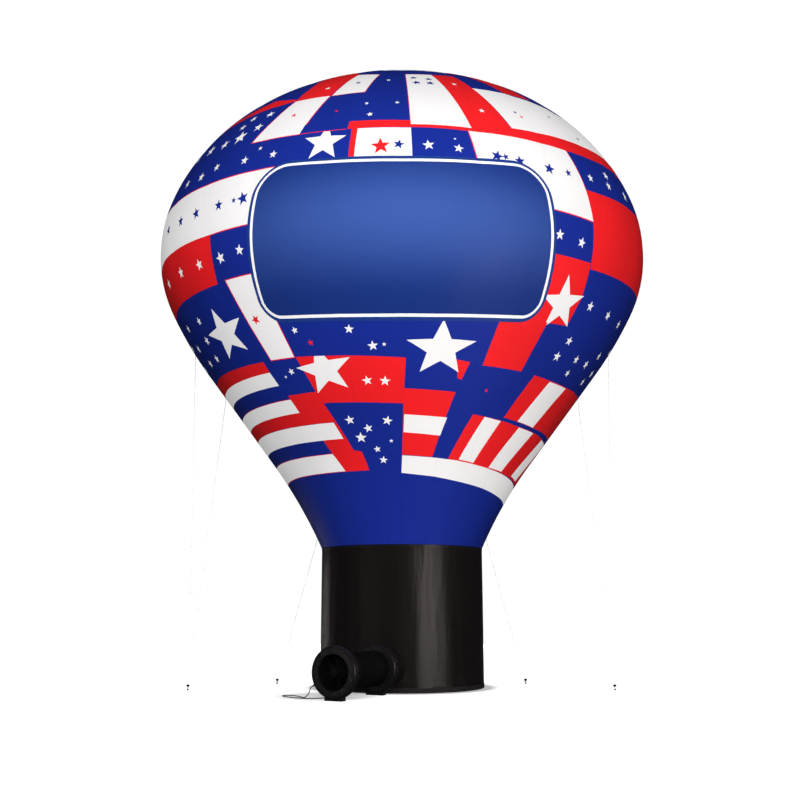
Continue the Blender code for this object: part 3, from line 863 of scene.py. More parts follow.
def smooth_path(points: list[Vector], step: float) -> list[Vector]:
    """Points an even step apart on a smooth curve through these points.

    Args:
        points: The points that the curve goes through.
        step: The distance between the found points.

    Returns:
        The found points, the two ends among them.
    """
    ends = [points[0] * 2 - points[1]] + points + [points[-1] * 2 - points[-2]]
    fine = []
    for p0, p1, p2, p3 in zip(ends, ends[1:], ends[2:], ends[3:]):
        for i in range(20):
            t = i / 20
            linear = (p2 - p0) * t
            square = (2 * p0 - 5 * p1 + 4 * p2 - p3) * t**2
            cube = (3 * p1 - p0 - 3 * p2 + p3) * t**3
            fine.append((2 * p1 + linear + square + cube) / 2)
    fine.append(points[-1])
    reaches = walked(fine)
    count = max(2, round(reaches[-1] / step))
    found = [fine[0]]
    for a, b, start, end in zip(fine, fine[1:], reaches, reaches[1:]):
        while len(found) < count and end >= reaches[-1] * len(found) / count:
            share = (reaches[-1] * len(found) / count - start) / (b - a).length
            found.append(a.lerp(b, share))
    found.append(fine[-1])
    return found


def eased(value: float, start: float, end: float) -> float:
    """0 before start, 1 after end, and a smooth step between them."""
    t = min(1.0, max(0.0, (value - start) / (end - start)))
    return t * t * (3 - 2 * t)


# Cloth that is cut flat and then placed


def signed_area(corners: list[Pair]) -> float:
    """An outline's area, below 0 where its corners go clockwise."""
    pairs = zip(corners[-1:] + corners[:-1], corners)
    return sum(x0 * y1 - x1 * y0 for (x0, y0), (x1, y1) in pairs) / 2


@dataclass
class FlatCut:
    """A flat sheet cut along straight lines and round closed outlines, all in metres."""

    width_lines: list[float]
    length_lines: list[float]
    outlines: list[list[Pair]]
    extra: list[Pair] = field(default_factory=list)

    def cut(self) -> tuple[np.ndarray, np.ndarray, np.ndarray]:
        """Cuts the sheet.

        Returns:
            Its points, its triangles, and for each triangle the last outline that holds it, or -1.
        """
        low_x, high_x = min(self.width_lines), max(self.width_lines)
        low_y, high_y = min(self.length_lines), max(self.length_lines)
        points: list[Vector] = []
        edges: list[tuple[int, int]] = []
        for x in self.width_lines:
            points += [Vector((x, low_y)), Vector((x, high_y))]
            edges.append((len(points) - 2, len(points) - 1))
        for y in self.length_lines:
            points += [Vector((low_x, y)), Vector((high_x, y))]
            edges.append((len(points) - 2, len(points) - 1))
        rings = []
        for outline in self.outlines:
            first = len(points)
            anticlockwise = signed_area(outline) > 0
            points += [Vector(p) for p in (outline if anticlockwise else outline[::-1])]
            rings.append(list(range(first, len(points))))
        points += [Vector(p) for p in self.extra]
        made = delaunay_2d_cdt(points, edges, rings, 0, 1e-5, True)
        flat = np.array([tuple(p) for p in made[0]], float)
        triangles = np.array(made[2], int)
        tops = np.array([max(ids) if ids else -1 for ids in made[5]], int)
        a, b, c = (flat[triangles[:, k]] for k in range(3))
        area = np.cross(b - a, c - a)
        triangles[area < 0] = triangles[area < 0][:, ::-1]
        kept = np.abs(area) > 1e-10
        return flat, triangles[kept], tops[kept]


def ringed(corners: list[Pair], by: float) -> list[Pair]:
    """Moves an outline's sides outwards.

    Args:
        corners: The outline's corners, in metres.
        by: How far its sides go out.

    Returns:
        The larger outline.
    """
    count = len(corners)
    turn = math.copysign(1.0, signed_area(corners))
    found = []
    for i in range(count):
        before = (Vector(corners[i]) - Vector(corners[i - 1])).normalized()
        after = (Vector(corners[(i + 1) % count]) - Vector(corners[i])).normalized()
        out_a = Vector((before.y, -before.x)) * turn
        out_b = Vector((after.y, -after.x)) * turn
        miter = (out_a + out_b) / max(0.35, 1 + out_a.dot(out_b))
        found.append((corners[i][0] + miter.x * by, corners[i][1] + miter.y * by))
    return found


def compact(points: np.ndarray, faces: np.ndarray) -> tuple[np.ndarray, np.ndarray]:
    """Drops the points that no face uses, and numbers the faces' points anew."""
    used, places = np.unique(faces, return_inverse=True)
    return points[used], places.reshape(faces.shape)


def merged(points: np.ndarray) -> tuple[np.ndarray, np.ndarray]:
    """Finds points that share a place, as where the two ends of a cut meet.

    Args:
        points: The points, a row each.

    Returns:
        One point's number for each place, and each point's number among the places.
    """
    seen: dict[tuple[float, ...], int] = {}
    same = [seen.setdefault(tuple(np.round(p, 5)), i) for i, p in enumerate(points)]
    return np.unique(same, return_inverse=True)


# The envelope's form


@dataclass(frozen=True)
class Stretch:
    """One stretch of the outline: bend is its radius, 0 for a straight one; turn is in degrees."""

    bend: float
    turn: float = 0.0
    length: float = 0.0


@dataclass
class Outline:
    """The envelope's outer line, from the pedestal's seam up to the top."""

    seam_radius: float = 0.795
    seam_height: float = 1.322
    seam_lean: float = 24.4
    stretches: tuple[Stretch, ...] = (
        Stretch(4.45, 5.4),
        Stretch(4.45, 7.0),
        Stretch(0.0, length=1.142),
        Stretch(4.0, -10.5),
        Stretch(1.223, -46.0),
        Stretch(1.929, -37.1),
    )
    step: float = 0.004

    def __post_init__(self) -> None:
        """Works out close points on the line; the last stretch is an arc that closes on the axis."""
        radius, height, lean = self.seam_radius, self.seam_height, math.radians(self.seam_lean)
        rows = [(0.0, radius, height, lean)]
        arc = 0.0
        for stretch in (*self.stretches, None):
            if stretch is None:
                bend, turn = radius / math.cos(lean), -math.pi / 2 - lean
            else:
                bend, turn = stretch.bend, math.radians(stretch.turn)
            length = bend * abs(turn) if bend else stretch.length
            count = max(2, round(length / self.step))
            for i in range(1, count + 1):
                run = length * i / count
                if not bend:
                    now = (radius + run * math.sin(lean), height + run * math.cos(lean), lean)
                else:
                    side, to = math.copysign(bend, turn), lean + turn * i / count
                    now = (
                        radius + side * (math.cos(lean) - math.cos(to)),
                        height + side * (math.sin(to) - math.sin(lean)),
                        to,
                    )
                rows.append((arc + run, *now))
            arc += length
            radius, height, lean = rows[-1][1:]
        self.rows = np.array(rows)
        self.length = arc

    def at(self, arc: np.ndarray | float) -> tuple[np.ndarray, np.ndarray, np.ndarray]:
        """Radius, height and lean of the line this far up the cloth."""
        return tuple(np.interp(arc, self.rows[:, 0], self.rows[:, k]) for k in (1, 2, 3))

    def arc_at(self, height: np.ndarray | float) -> np.ndarray:
        """How far up the cloth a height is."""
        return np.interp(height, self.rows[:, 2], self.rows[:, 0])


@dataclass
class Skin:
    """The inflated skin: gores that swell a little between their seams."""

    outline: Outline = field(default_factory=Outline)
    gores: int = 24
    swell: float = 0.0035
    pleats: int = 72
    pleat_depth: float = 0.0022
    pleat_reach: float = 0.16
    sway: float = 0.0016

    def off_seam(self, around: np.ndarray) -> np.ndarray:
        """Degrees to the nearest seam between two gores."""
        width = 360.0 / self.gores
        return np.abs((around + width / 2) % width - width / 2)

    def seam_distance(self, around: np.ndarray, arc: np.ndarray) -> np.ndarray:
        """Metres to the nearest seam between two gores."""
        return np.radians(self.off_seam(around)) * self.outline.at(arc)[0]

    def lift(self, around: np.ndarray, arc: np.ndarray) -> np.ndarray:
        """How far the skin stands off its outline.

        Args:
            around: Degrees from the front.
            arc: Metres up the cloth.

        Returns:
            The distances.
        """
        share = 1 - 2 * self.off_seam(around) / (360.0 / self.gores)
        radius = self.outline.at(arc)[0]
        pinch = -self.swell * np.clip(radius / 2.2, 0.3, 1.0) * share**3
        fade = np.exp(-arc / self.pleat_reach)
        pleat = -self.pleat_depth * fade * (0.5 + 0.5 * np.cos(np.radians(around) * self.pleats))
        a = np.radians(around)
        sway = self.sway * (
            np.sin(3 * a + 1.3 * arc) + 0.7 * np.sin(7 * a - 2.1 * arc + 1.0) * np.sin(1.7 * arc + 0.4)
        )
        ends = np.clip(arc / 0.4, 0, 1)
        return pinch + pleat + sway * ends

    def place(self, around: np.ndarray, arc: np.ndarray, off: float = 0.0) -> np.ndarray:
        """Points of the skin.

        Args:
            around: Degrees from the front.
            arc: Metres up the cloth from the pedestal's seam.
            off: Metres off the skin.

        Returns:
            The points, a row each.
        """
        radius, height, lean = self.outline.at(arc)
        out = self.lift(around, arc) + off
        radius = radius + out * np.cos(lean)
        height = height - out * np.sin(lean)
        a = np.radians(around)
        return np.stack((radius * np.sin(a), -radius * np.cos(a), height), axis=-1)

    def normals(self, around: np.ndarray, arc: np.ndarray) -> np.ndarray:
        """Outward normals of the skin.

        Args:
            around: Degrees from the front.
            arc: Metres up the cloth.

        Returns:
            The normals, a row each.
        """
        d_around, d_arc = 0.15, 0.004
        across = self.place(around + d_around, arc) - self.place(around - d_around, arc)
        along = self.place(around, arc + d_arc) - self.place(around, arc - d_arc)
        normal = np.cross(across, along)
        return normal / np.linalg.norm(normal, axis=1)[:, None]

    def spot(self, around: float, arc: float, off: float = 0.0) -> Vector:
        """One point of the skin, or this far off it."""
        return Vector(self.place(np.array([around]), np.array([arc]), off)[0])

    def facing(self, around: float, arc: float) -> Vector:
        """The outward normal at one point of the skin."""
        return Vector(self.normals(np.array([around]), np.array([arc]))[0])


SKIN = Skin()


# The print


@dataclass(frozen=True)
class Patch:
    """A patch of the print: corners in degrees round and metres up the cloth, and its line's ink."""

    ink: Ink
    corners: tuple[Pair, ...]
    line: Ink | None = None
    line_width: float = 0.009

    def outlines(self, outline: Outline) -> list[tuple[Ink, list[Pair]]]:
        """What is cut for it.

        Args:
            outline: The envelope's outer line.

        Returns:
            Its line's outline and its own, each with its ink.
        """
        made = [(self.ink, list(self.corners))]
        if self.line is not None:
            middle = sum(arc for _, arc in self.corners) / len(self.corners)
            metres = math.radians(1) * float(outline.at(middle)[0])
            flat = [(a * metres, arc) for a, arc in self.corners]
            wide = [(x / metres, y) for x, y in ringed(flat, self.line_width)]
            made.insert(0, (self.line, [(min(90.0, max(-90.0, a)), arc) for a, arc in wide]))
        return made


@dataclass(frozen=True)
class Star:
    """A five-pointed star of the print: its middle, its radius in metres, and its turn in degrees."""

    ink: Ink
    around: float
    arc: float
    radius: float
    turn: float = 0.0
    waist: float = 0.42
    wide: float = 1.0  # how much wider than in a regular star

    def outlines(self, outline: Outline) -> list[tuple[Ink, list[Pair]]]:
        """What is cut for it.

        Args:
            outline: The envelope's outer line.

        Returns:
            Its outline with its ink.
        """
        metres = math.radians(1) * float(outline.at(self.arc)[0])
        corners = []
        for k in range(10):
            reach = self.radius * (self.waist if k % 2 else 1.0)
            a = math.radians(90 + self.turn + 36 * k)
            aside = self.wide * reach * math.cos(a) / metres
            corners.append((self.around + aside, self.arc + reach * math.sin(a)))
        return [(self.ink, corners)]


def stars(ink: Ink, *rows: tuple[float, ...]) -> list[Star]:
    """Stars of one ink, from rows of their other fields."""
    return [Star(ink, *row) for row in rows]


B, R, W = Ink.BLUE, Ink.RED, Ink.WHITE

# The front half's print, from the crown down; what comes later covers what came before
PRINT: tuple[Patch | Star, ...] = (
    # crown, left of the middle
    Patch(R, ((-26, 4.39), (-16.8, 4.37), (-12.5, 4.88), (-17, 5.35), (-24, 5.35), (-24.5, 4.7))),
    Patch(R, ((-26, 4.39), (-26, 4.42), (-34.5, 4.57), (-42, 4.52), (-60, 4.5), (-60, 4.43))),
    Patch(W, ((-12.5, 4.87), (-6.2, 4.8), (-8.6, 4.36), (-16.4, 4.36)), R, 0.006),
    Patch(W, ((-26, 4.38), (-16.9, 4.36), (-21.2, 3.85), (-33.1, 3.89)), R),
    Star(R, -24.2, 4.13, 0.03),
    Star(B, -11, 4.58, 0.03),
    *stars(W, (-18.7, 4.54, 0.03), (-3.4, 4.6, 0.024, 10), (-7.6, 4.16, 0.022), (-1, 4.16, 0.022, -8),
        (-6.6, 4, 0.03, 8)),
    Star(R, -14, 4.09, 0.02),
    # crown, right of the middle
    Patch(R, ((8.1, 4.8), (14.6, 4.85), (17.6, 4.525), (23.5, 3.92), (14.2, 3.86), (11.2, 4.3))),
    Patch(R, ((19, 5.05), (30, 5.05), (36, 4.6), (27, 4.57))),
    Patch(W, ((1, 4.79), (8.1, 4.8), (11.2, 4.33), (14.2, 3.86), (1.8, 3.86)), R, 0.005),
    Patch(W, ((17.6, 4.525), (26.7, 4.56), (50, 4.56), (90, 4.58), (90, 4.15), (57.4, 4.1), (40, 4.01),
        (23.5, 3.94))),
    *stars(B, (3, 4.67, 0.04), (6.9, 4.645, 0.04), (3.6, 4.54, 0.045, 12), (7, 4.54, 0.045, -10)),
    *stars(W, (13.2, 4.57, 0.03), (17.4, 4.12, 0.03)),
    Star(B, 26.1, 4.2, 0.022),
    Star(R, 27.4, 4.15, 0.022),
    *stars(B, (37.7, 4.33, 0.022), (45.1, 4.15, 0.025)),
    # red band round the shoulder
    Patch(R, ((-10.7, 3.925), (1.7, 3.915), (1.8, 3.865), (14.2, 3.865), (23.5, 3.945), (40, 4.015),
        (57.4, 4.105), (90, 4.16), (90, 4), (57.7, 3.95), (36.8, 3.85), (23.5, 3.83), (13.4, 3.825),
        (-10.9, 3.835))),
    # top row, left
    *stars(W, (-32, 4.27, 0.05, 8), (-37.7, 4.3, 0.045, 20), (-39.9, 4.21, 0.045), (-33.5, 4.1, 0.055, -8),
        (-38.2, 4.04, 0.085, 5), (-43.6, 4.04, 0.06, 10), (-49.9, 4.08, 0.07), (-58, 4.12, 0.055, 12),
        (-68, 4.08, 0.05), (-80, 4.14, 0.05, -10), (-30.2, 3.79, 0.024), (-26.5, 3.68, 0.042, -6),
        (-33.8, 3.7, 0.045, -8), (-42.6, 3.75, 0.045, 6), (-48.1, 3.73, 0.05, -10), (-55.1, 3.77, 0.05, 6),
        (-72, 3.84, 0.05), (-15.4, 3.715, 0.195, -4)),
    Patch(B, ((-21.2, 3.852), (-11.2, 3.838), (-11.4, 3.96), (-20.4, 3.96))),
    Patch(R, ((-21.2, 3.852), (-11.2, 3.838), (-11.2, 3.83), (-21.2, 3.844))),
    # middle of the top row
    Patch(R, ((-10, 3.835), (-8.6, 3.835), (-9, 3.53), (-10.3, 3.53))),
    Patch(W, ((-8.8, 3.83), (1.8, 3.825), (2, 3.5), (-9.2, 3.5))),
    Star(R, -4.1, 3.63, 0.085, 4),
    Star(B, -0.6, 3.645, 0.05, -12),
    *stars(W, (5.1, 3.64, 0.052, 8), (11, 3.625, 0.045, -8), (10.4, 3.72, 0.013)),
    # top row, right
    Patch(W, ((13.4, 3.825), (36.8, 3.85), (40.4, 3.49), (42.8, 3.225), (29, 3.22), (22, 3.45),
        (14.9, 3.5)), R),
    *stars(B, (18.8, 3.595, 0.06, -14), (20.6, 3.6, 0.035, 20), (23.7, 3.585, 0.055, 8),
        (30.7, 3.58, 0.06, -8), (35.7, 3.595, 0.042, 14)),
    *stars(W, (42.8, 3.64, 0.045, 6), (50, 3.775, 0.048, -8), (49.8, 3.66, 0.048, 12), (58.9, 3.7, 0.06),
        (72, 3.8, 0.05, 10)),
    # belt, left
    Patch(W, ((-90, 3.68), (-63.2, 3.64), (-39.7, 3.575), (-25.9, 3.545), (-24, 3.3), (-28, 3.09),
        (-32.7, 3.1), (-43.5, 3.115), (-66.2, 3.175), (-90, 3.2)), R),
    *stars(B, (-33.2, 3.33, 0.065, 10), (-35.6, 3.335, 0.03, -15), (-40, 3.34, 0.055, -6),
        (-47.8, 3.36, 0.06, 8), (-54.7, 3.38, 0.058, -5), (-62.8, 3.41, 0.058, 8), (-74, 3.43, 0.058, -6)),
    Patch(R, ((-90, 3.2), (-66.2, 3.175), (-43.5, 3.115), (-45.7, 2.685), (-70.8, 2.715), (-90, 2.72))),
    *stars(W, (-49.6, 2.91, 0.055, 6), (-58.7, 2.94, 0.058, -8), (-69, 2.96, 0.055, 4),
        (-81, 2.95, 0.055, -6), (-41.8, 2.89, 0.058, 10), (-35.8, 2.905, 0.05, -14)),
    # belt, right
    Patch(R, ((40.4, 3.49), (54, 3.55), (66.3, 3.61), (90, 3.68), (90, 2.97), (77, 2.93), (66.6, 2.89),
        (45.4, 2.82), (44.9, 2.88), (42.8, 3.225))),
    *stars(W, (33.8, 3.02, 0.05, 8), (40.2, 3.01, 0.05, -8)),
    Patch(R, ((30, 2.85), (33.5, 2.855), (44.9, 2.87), (46.2, 2.56), (45.3, 2.28), (38.3, 2.26), (34, 2.25),
        (30, 2.5))),
    Star(W, 40.6, 2.455, 0.265, 11, 0.4),
    # below the belt, left
    Patch(W, ((-42.6, 2.69), (-31.5, 2.68), (-32, 2.26), (-30.8, 1.89), (-38.9, 1.9)), R),
    Star(R, -38, 2.29, 0.05, 16),
    *stars(W, (-51.3, 2.25, 0.262, 4, 0.42, 1.2), (-60.8, 2.47, 0.045, 4), (-70.9, 2.5, 0.045, -6),
        (-62.5, 2.28, 0.048, 8), (-72.7, 2.29, 0.05), (-63.4, 2.09, 0.045, -8), (-70.6, 2.1, 0.048, 6),
        (-81, 2.38, 0.048, -5), (-83, 2.15, 0.048, 8)),
    # below the banner
    *stars(W, (-27.7, 2.13, 0.035, 10), (-7.6, 1.93, 0.048, 4), (-4.6, 1.94, 0.02)),
    Patch(R, ((-30.4, 1.888), (1.1, 1.815), (0.5, 1.385), (-26.4, 1.425), (-27.8, 1.54))),
    Star(W, -22.6, 1.735, 0.245, 6, 0.42, 1.13),
    Patch(B, ((-30.6, 1.888), (-10, 1.842), (-10, 2.02), (-30.8, 2.02))),
    Star(W, -13.2, 2.09, 0.045, -8),
    Star(R, -24.3, 2, 0.032, 8),
    *stars(W, (-10.3, 1.61, 0.048, 8), (-5, 1.6, 0.05, -6)),
    Patch(R, ((15, 1.815), (19.2, 1.8), (17.9, 1.63), (16.6, 1.64))),
    Star(W, 10.5, 1.905, 0.265, 2, 0.42, 1.18),
    Patch(R, ((24.6, 2.3), (36.8, 2.28), (38.3, 2.26), (36.7, 1.775), (23.2, 1.78))),
    # below the belt, right
    *stars(W, (50.7, 2.52, 0.052, 6), (60.8, 2.53, 0.052, -8), (71.1, 2.55, 0.052, 8),
        (49.2, 2.16, 0.048, -6), (47.7, 1.99, 0.052, 6), (57.4, 2.03, 0.048, 10), (65, 2.04, 0.05, -8),
        (70.8, 2.19, 0.048, 14), (57.2, 1.88, 0.04, -10), (76.3, 2.03, 0.05), (72.4, 1.9, 0.048, 8),
        (82, 2.35, 0.05, -8)),
    # stripes, left
    Patch(R, ((-90, 1.95), (-73.2, 1.94), (-42.2, 1.9), (-41.7, 1.79), (-73.1, 1.8), (-90, 1.8))),
    Patch(W, ((-90, 1.8), (-73.1, 1.8), (-41.7, 1.79), (-40.6, 1.65), (-73.6, 1.66), (-90, 1.66))),
    *stars(W, (-33.6, 1.76, 0.035, 16), (-36.4, 1.72, 0.016)),
    Patch(W, ((-90, 1.5), (-38.6, 1.5), (-37.2, 1.36), (-90, 1.36)), R, 0.006),
    Patch(R, ((-90, 1.36), (-37.3, 1.36), (-38.8, 1.54), (-27.8, 1.54), (-26.2, 1.41), (-19.9, 0.94),
        (-16.6, 0.92), (-14.7, 0.73), (-26.4, 0.73), (-30, 0.915), (-32, 1.06), (-22.9, 1.06),
        (-24.9, 1.23), (-90, 1.235))),
    Patch(W, ((-90, 1.232), (-24.9, 1.227), (-22.9, 1.06), (-90, 1.06))),
    Patch(W, ((-90, 0.912), (-30, 0.915), (-26.4, 0.735), (-60, 0.73), (-90, 0.71)), R, 0.006),
    # middle, low
    *stars(W, (-18.5, 1.24, 0.048, 6), (-5.1, 1.22, 0.048, -14), (-12.3, 1.15, 0.045, 12),
        (-15.7, 1.06, 0.055, -4), (-4.1, 1.02, 0.02), (-9.9, 0.94, 0.035, 8), (-7.8, 0.83, 0.04, -6)),
    Patch(R, ((0.6, 1.53), (16.9, 1.51), (12.8, 0.865), (0.1, 0.88))),
    Patch(W, ((0.8, 1.28), (15.8, 1.26), (14.5, 1.08), (0.6, 1.105))),
    Star(B, 21.5, 1.6, 0.018),
    Star(R, 27, 1.55, 0.02),
    # stripes, right
    Patch(R, ((42.5, 1.765), (50.7, 1.755), (62.1, 1.755), (80.8, 1.78), (90, 1.79), (90, 1.255),
        (79.4, 1.265), (56.5, 1.275), (45.6, 1.295), (38, 1.315))),
    Patch(W, ((50.7, 1.745), (62.1, 1.745), (56.5, 1.28), (45.6, 1.3))),
    Patch(R, ((25, 1.31), (37.4, 1.28), (48.1, 1.25), (59.4, 1.235), (71.6, 1.215), (90, 1.2), (90, 0.66),
        (63.8, 0.74), (42.1, 0.79), (19.8, 0.85))),
    Patch(W, ((29.9, 1.295), (37.4, 1.275), (32.6, 0.83), (24.8, 0.855))),
    Patch(W, ((48.1, 1.245), (59.4, 1.23), (52.5, 0.78), (42.3, 0.8))),
    Patch(W, ((71.6, 1.21), (84, 1.2), (75, 0.73), (63.8, 0.76))),
    Patch(W, ((0.1, 0.875), (12.8, 0.86), (24.5, 0.84), (42.3, 0.79), (53, 0.76), (79.7, 0.68), (90, 0.65),
        (90, 0.46), (76.4, 0.49), (59.7, 0.535), (42.9, 0.59), (28.8, 0.63), (15.2, 0.67), (-0.2, 0.7))),
    # top of the crown, out of the front's sight
    Patch(R, ((-90, 4.98), (-62, 5.02), (-58, 5.62), (-90, 5.58))),
    Patch(W, ((-62, 5.02), (-36, 4.99), (-34, 5.6), (-58, 5.62))),
    Patch(W, ((-6, 5.05), (14, 5.02), (17, 5.6), (-8, 5.63))),
    Patch(R, ((14, 5.02), (19, 5.05), (30, 5.05), (38, 5.04), (40, 5.62), (17, 5.6))),
    Patch(W, ((64, 5), (90, 4.98), (90, 5.58), (66, 5.61))),
    *(
        Patch(ink, ((a, 5.6), (a + 15, 5.6), (a + 15, 6.6), (a, 6.6)))
        for a, ink in ((-90, W), (-75, R), (-45, W), (-30, R), (0, W), (15, R), (45, W), (60, R))
    ),
)


@dataclass
class Envelope:
    """The printed skin in three stretches, with the crown's patch on top."""

    skin: Skin = field(default_factory=lambda: SKIN)
    prints: tuple[Patch | Star, ...] = PRINT
    columns: int = 192
    row: float = 0.075
    neck_top: float = 0.4194
    crown_foot: float = 5.410
    top_radius: float = 0.15
    patch_lap: float = 0.03
    flat_radius: float = 2.2  # radius at which a degree has its true width in the flat cut

    def build(self) -> None:
        """Builds the stretches and the crown's patch."""
        metres = math.radians(1) * self.flat_radius
        rows = self.skin.outline.rows
        top = float(np.interp(self.top_radius, rows[::-1, 1], rows[::-1, 0]))
        lines = [(-90.0 + 360.0 * k / self.columns) * metres for k in range(self.columns + 1)]
        marks = [0.0, self.neck_top, self.crown_foot, top]
        heights = [0.0]
        for low, high in zip(marks, marks[1:]):
            count = max(2, round((high - low) / self.row))
            heights += [low + (high - low) * k / count for k in range(1, count + 1)]
        shapes, inks = [], []
        for turn in (0.0, 180.0):
            for item in self.prints:
                for ink, corners in item.outlines(self.skin.outline):
                    shapes.append([((a + turn) * metres, min(arc, top)) for a, arc in corners])
                    inks.append(ink.value)
        cut = FlatCut(lines, heights, shapes)
        flat, triangles, tops = cut.cut()
        ends = (lines[0], lines[-1])
        borders = {round(y, 6) for x, y in flat if min(abs(x - ends[0]), abs(x - ends[1])) < 1e-5}
        cut.extra = [(x, y) for x in ends for y in sorted(borders)]
        flat, triangles, tops = cut.cut()
        inks = np.array([inks[t] if t >= 0 else Ink.BLUE.value for t in tops])
        places = flat / (metres, 1.0)
        middles = flat[triangles, 1].mean(axis=1)
        for name, low, high in zip(("neck", "body", "crown"), marks, marks[1:]):
            chosen = (middles > low) & (middles < high)
            self.stretch(f"envelope_{name}", places, triangles[chosen], inks[chosen])
        self.crown_patch(top)

    def stretch(self, name: str, places: np.ndarray, triangles: np.ndarray, inks: np.ndarray) -> None:
        """Makes one stretch of the skin.

        Args:
            name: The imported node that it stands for.
            places: Degrees round and metres up the cloth of every point.
            triangles: The stretch's triangles.
            inks: The triangles' inks.
        """
        places, triangles = compact(places, triangles)
        around, arc = places.T
        points = self.skin.place(around, arc)
        kept, joined = merged(points)
        faces = joined[triangles]
        whole = [len(set(face)) == 3 for face in faces.tolist()]
        faces, triangles, inks = faces[whole], triangles[whole], inks[whole]
        mesh = bpy.data.meshes.new(f"{name}_skin")
        mesh.from_pydata(points[kept].tolist(), [], faces.tolist())
        width = 360.0 / self.skin.gores
        centres = (np.floor(around[triangles].mean(axis=1) / width) + 0.5) * width
        radius = self.skin.outline.at(arc)[0]
        across = np.radians(around[triangles] - centres[:, None]) * radius[triangles]
        cloth = np.stack((across, arc[triangles]), axis=-1)
        mesh.uv_layers.new(name="cloth").data.foreach_set("uv", cloth.astype(np.float32).ravel())
        seams = self.skin.seam_distance(around, arc)[kept]
        mesh.attributes.new("seam", "FLOAT", "POINT").data.foreach_set("value", seams.astype(np.float32))
        for finish in SKIN_INKS:
            mesh.materials.append(finish.material())
        mesh.polygons.foreach_set("material_index", inks.astype(np.int32))
        mesh.shade_smooth()
        mesh.normals_split_custom_set_from_vertices(self.skin.normals(around, arc)[kept].tolist())
        placed(mesh.name, mesh, (name,))

    def crown_patch(self, top: float) -> None:
        """The sewn round patch that closes the gores at the top.

        Args:
            top: How far up the cloth the gores end.
        """
        radius, height, _ = (float(v) for v in self.skin.outline.at(top))
        rim = radius + self.patch_lap
        section = [
            (0.0, height + 0.012),
            (rim * 0.5, height + 0.009),
            (rim, height - 0.004, 0.002),
            (rim, height - 0.012),
        ]
        turned(filleted(section, False), 64, False).piece("crown_patch", SKIN_INKS[0], Slot.ENVELOPE)


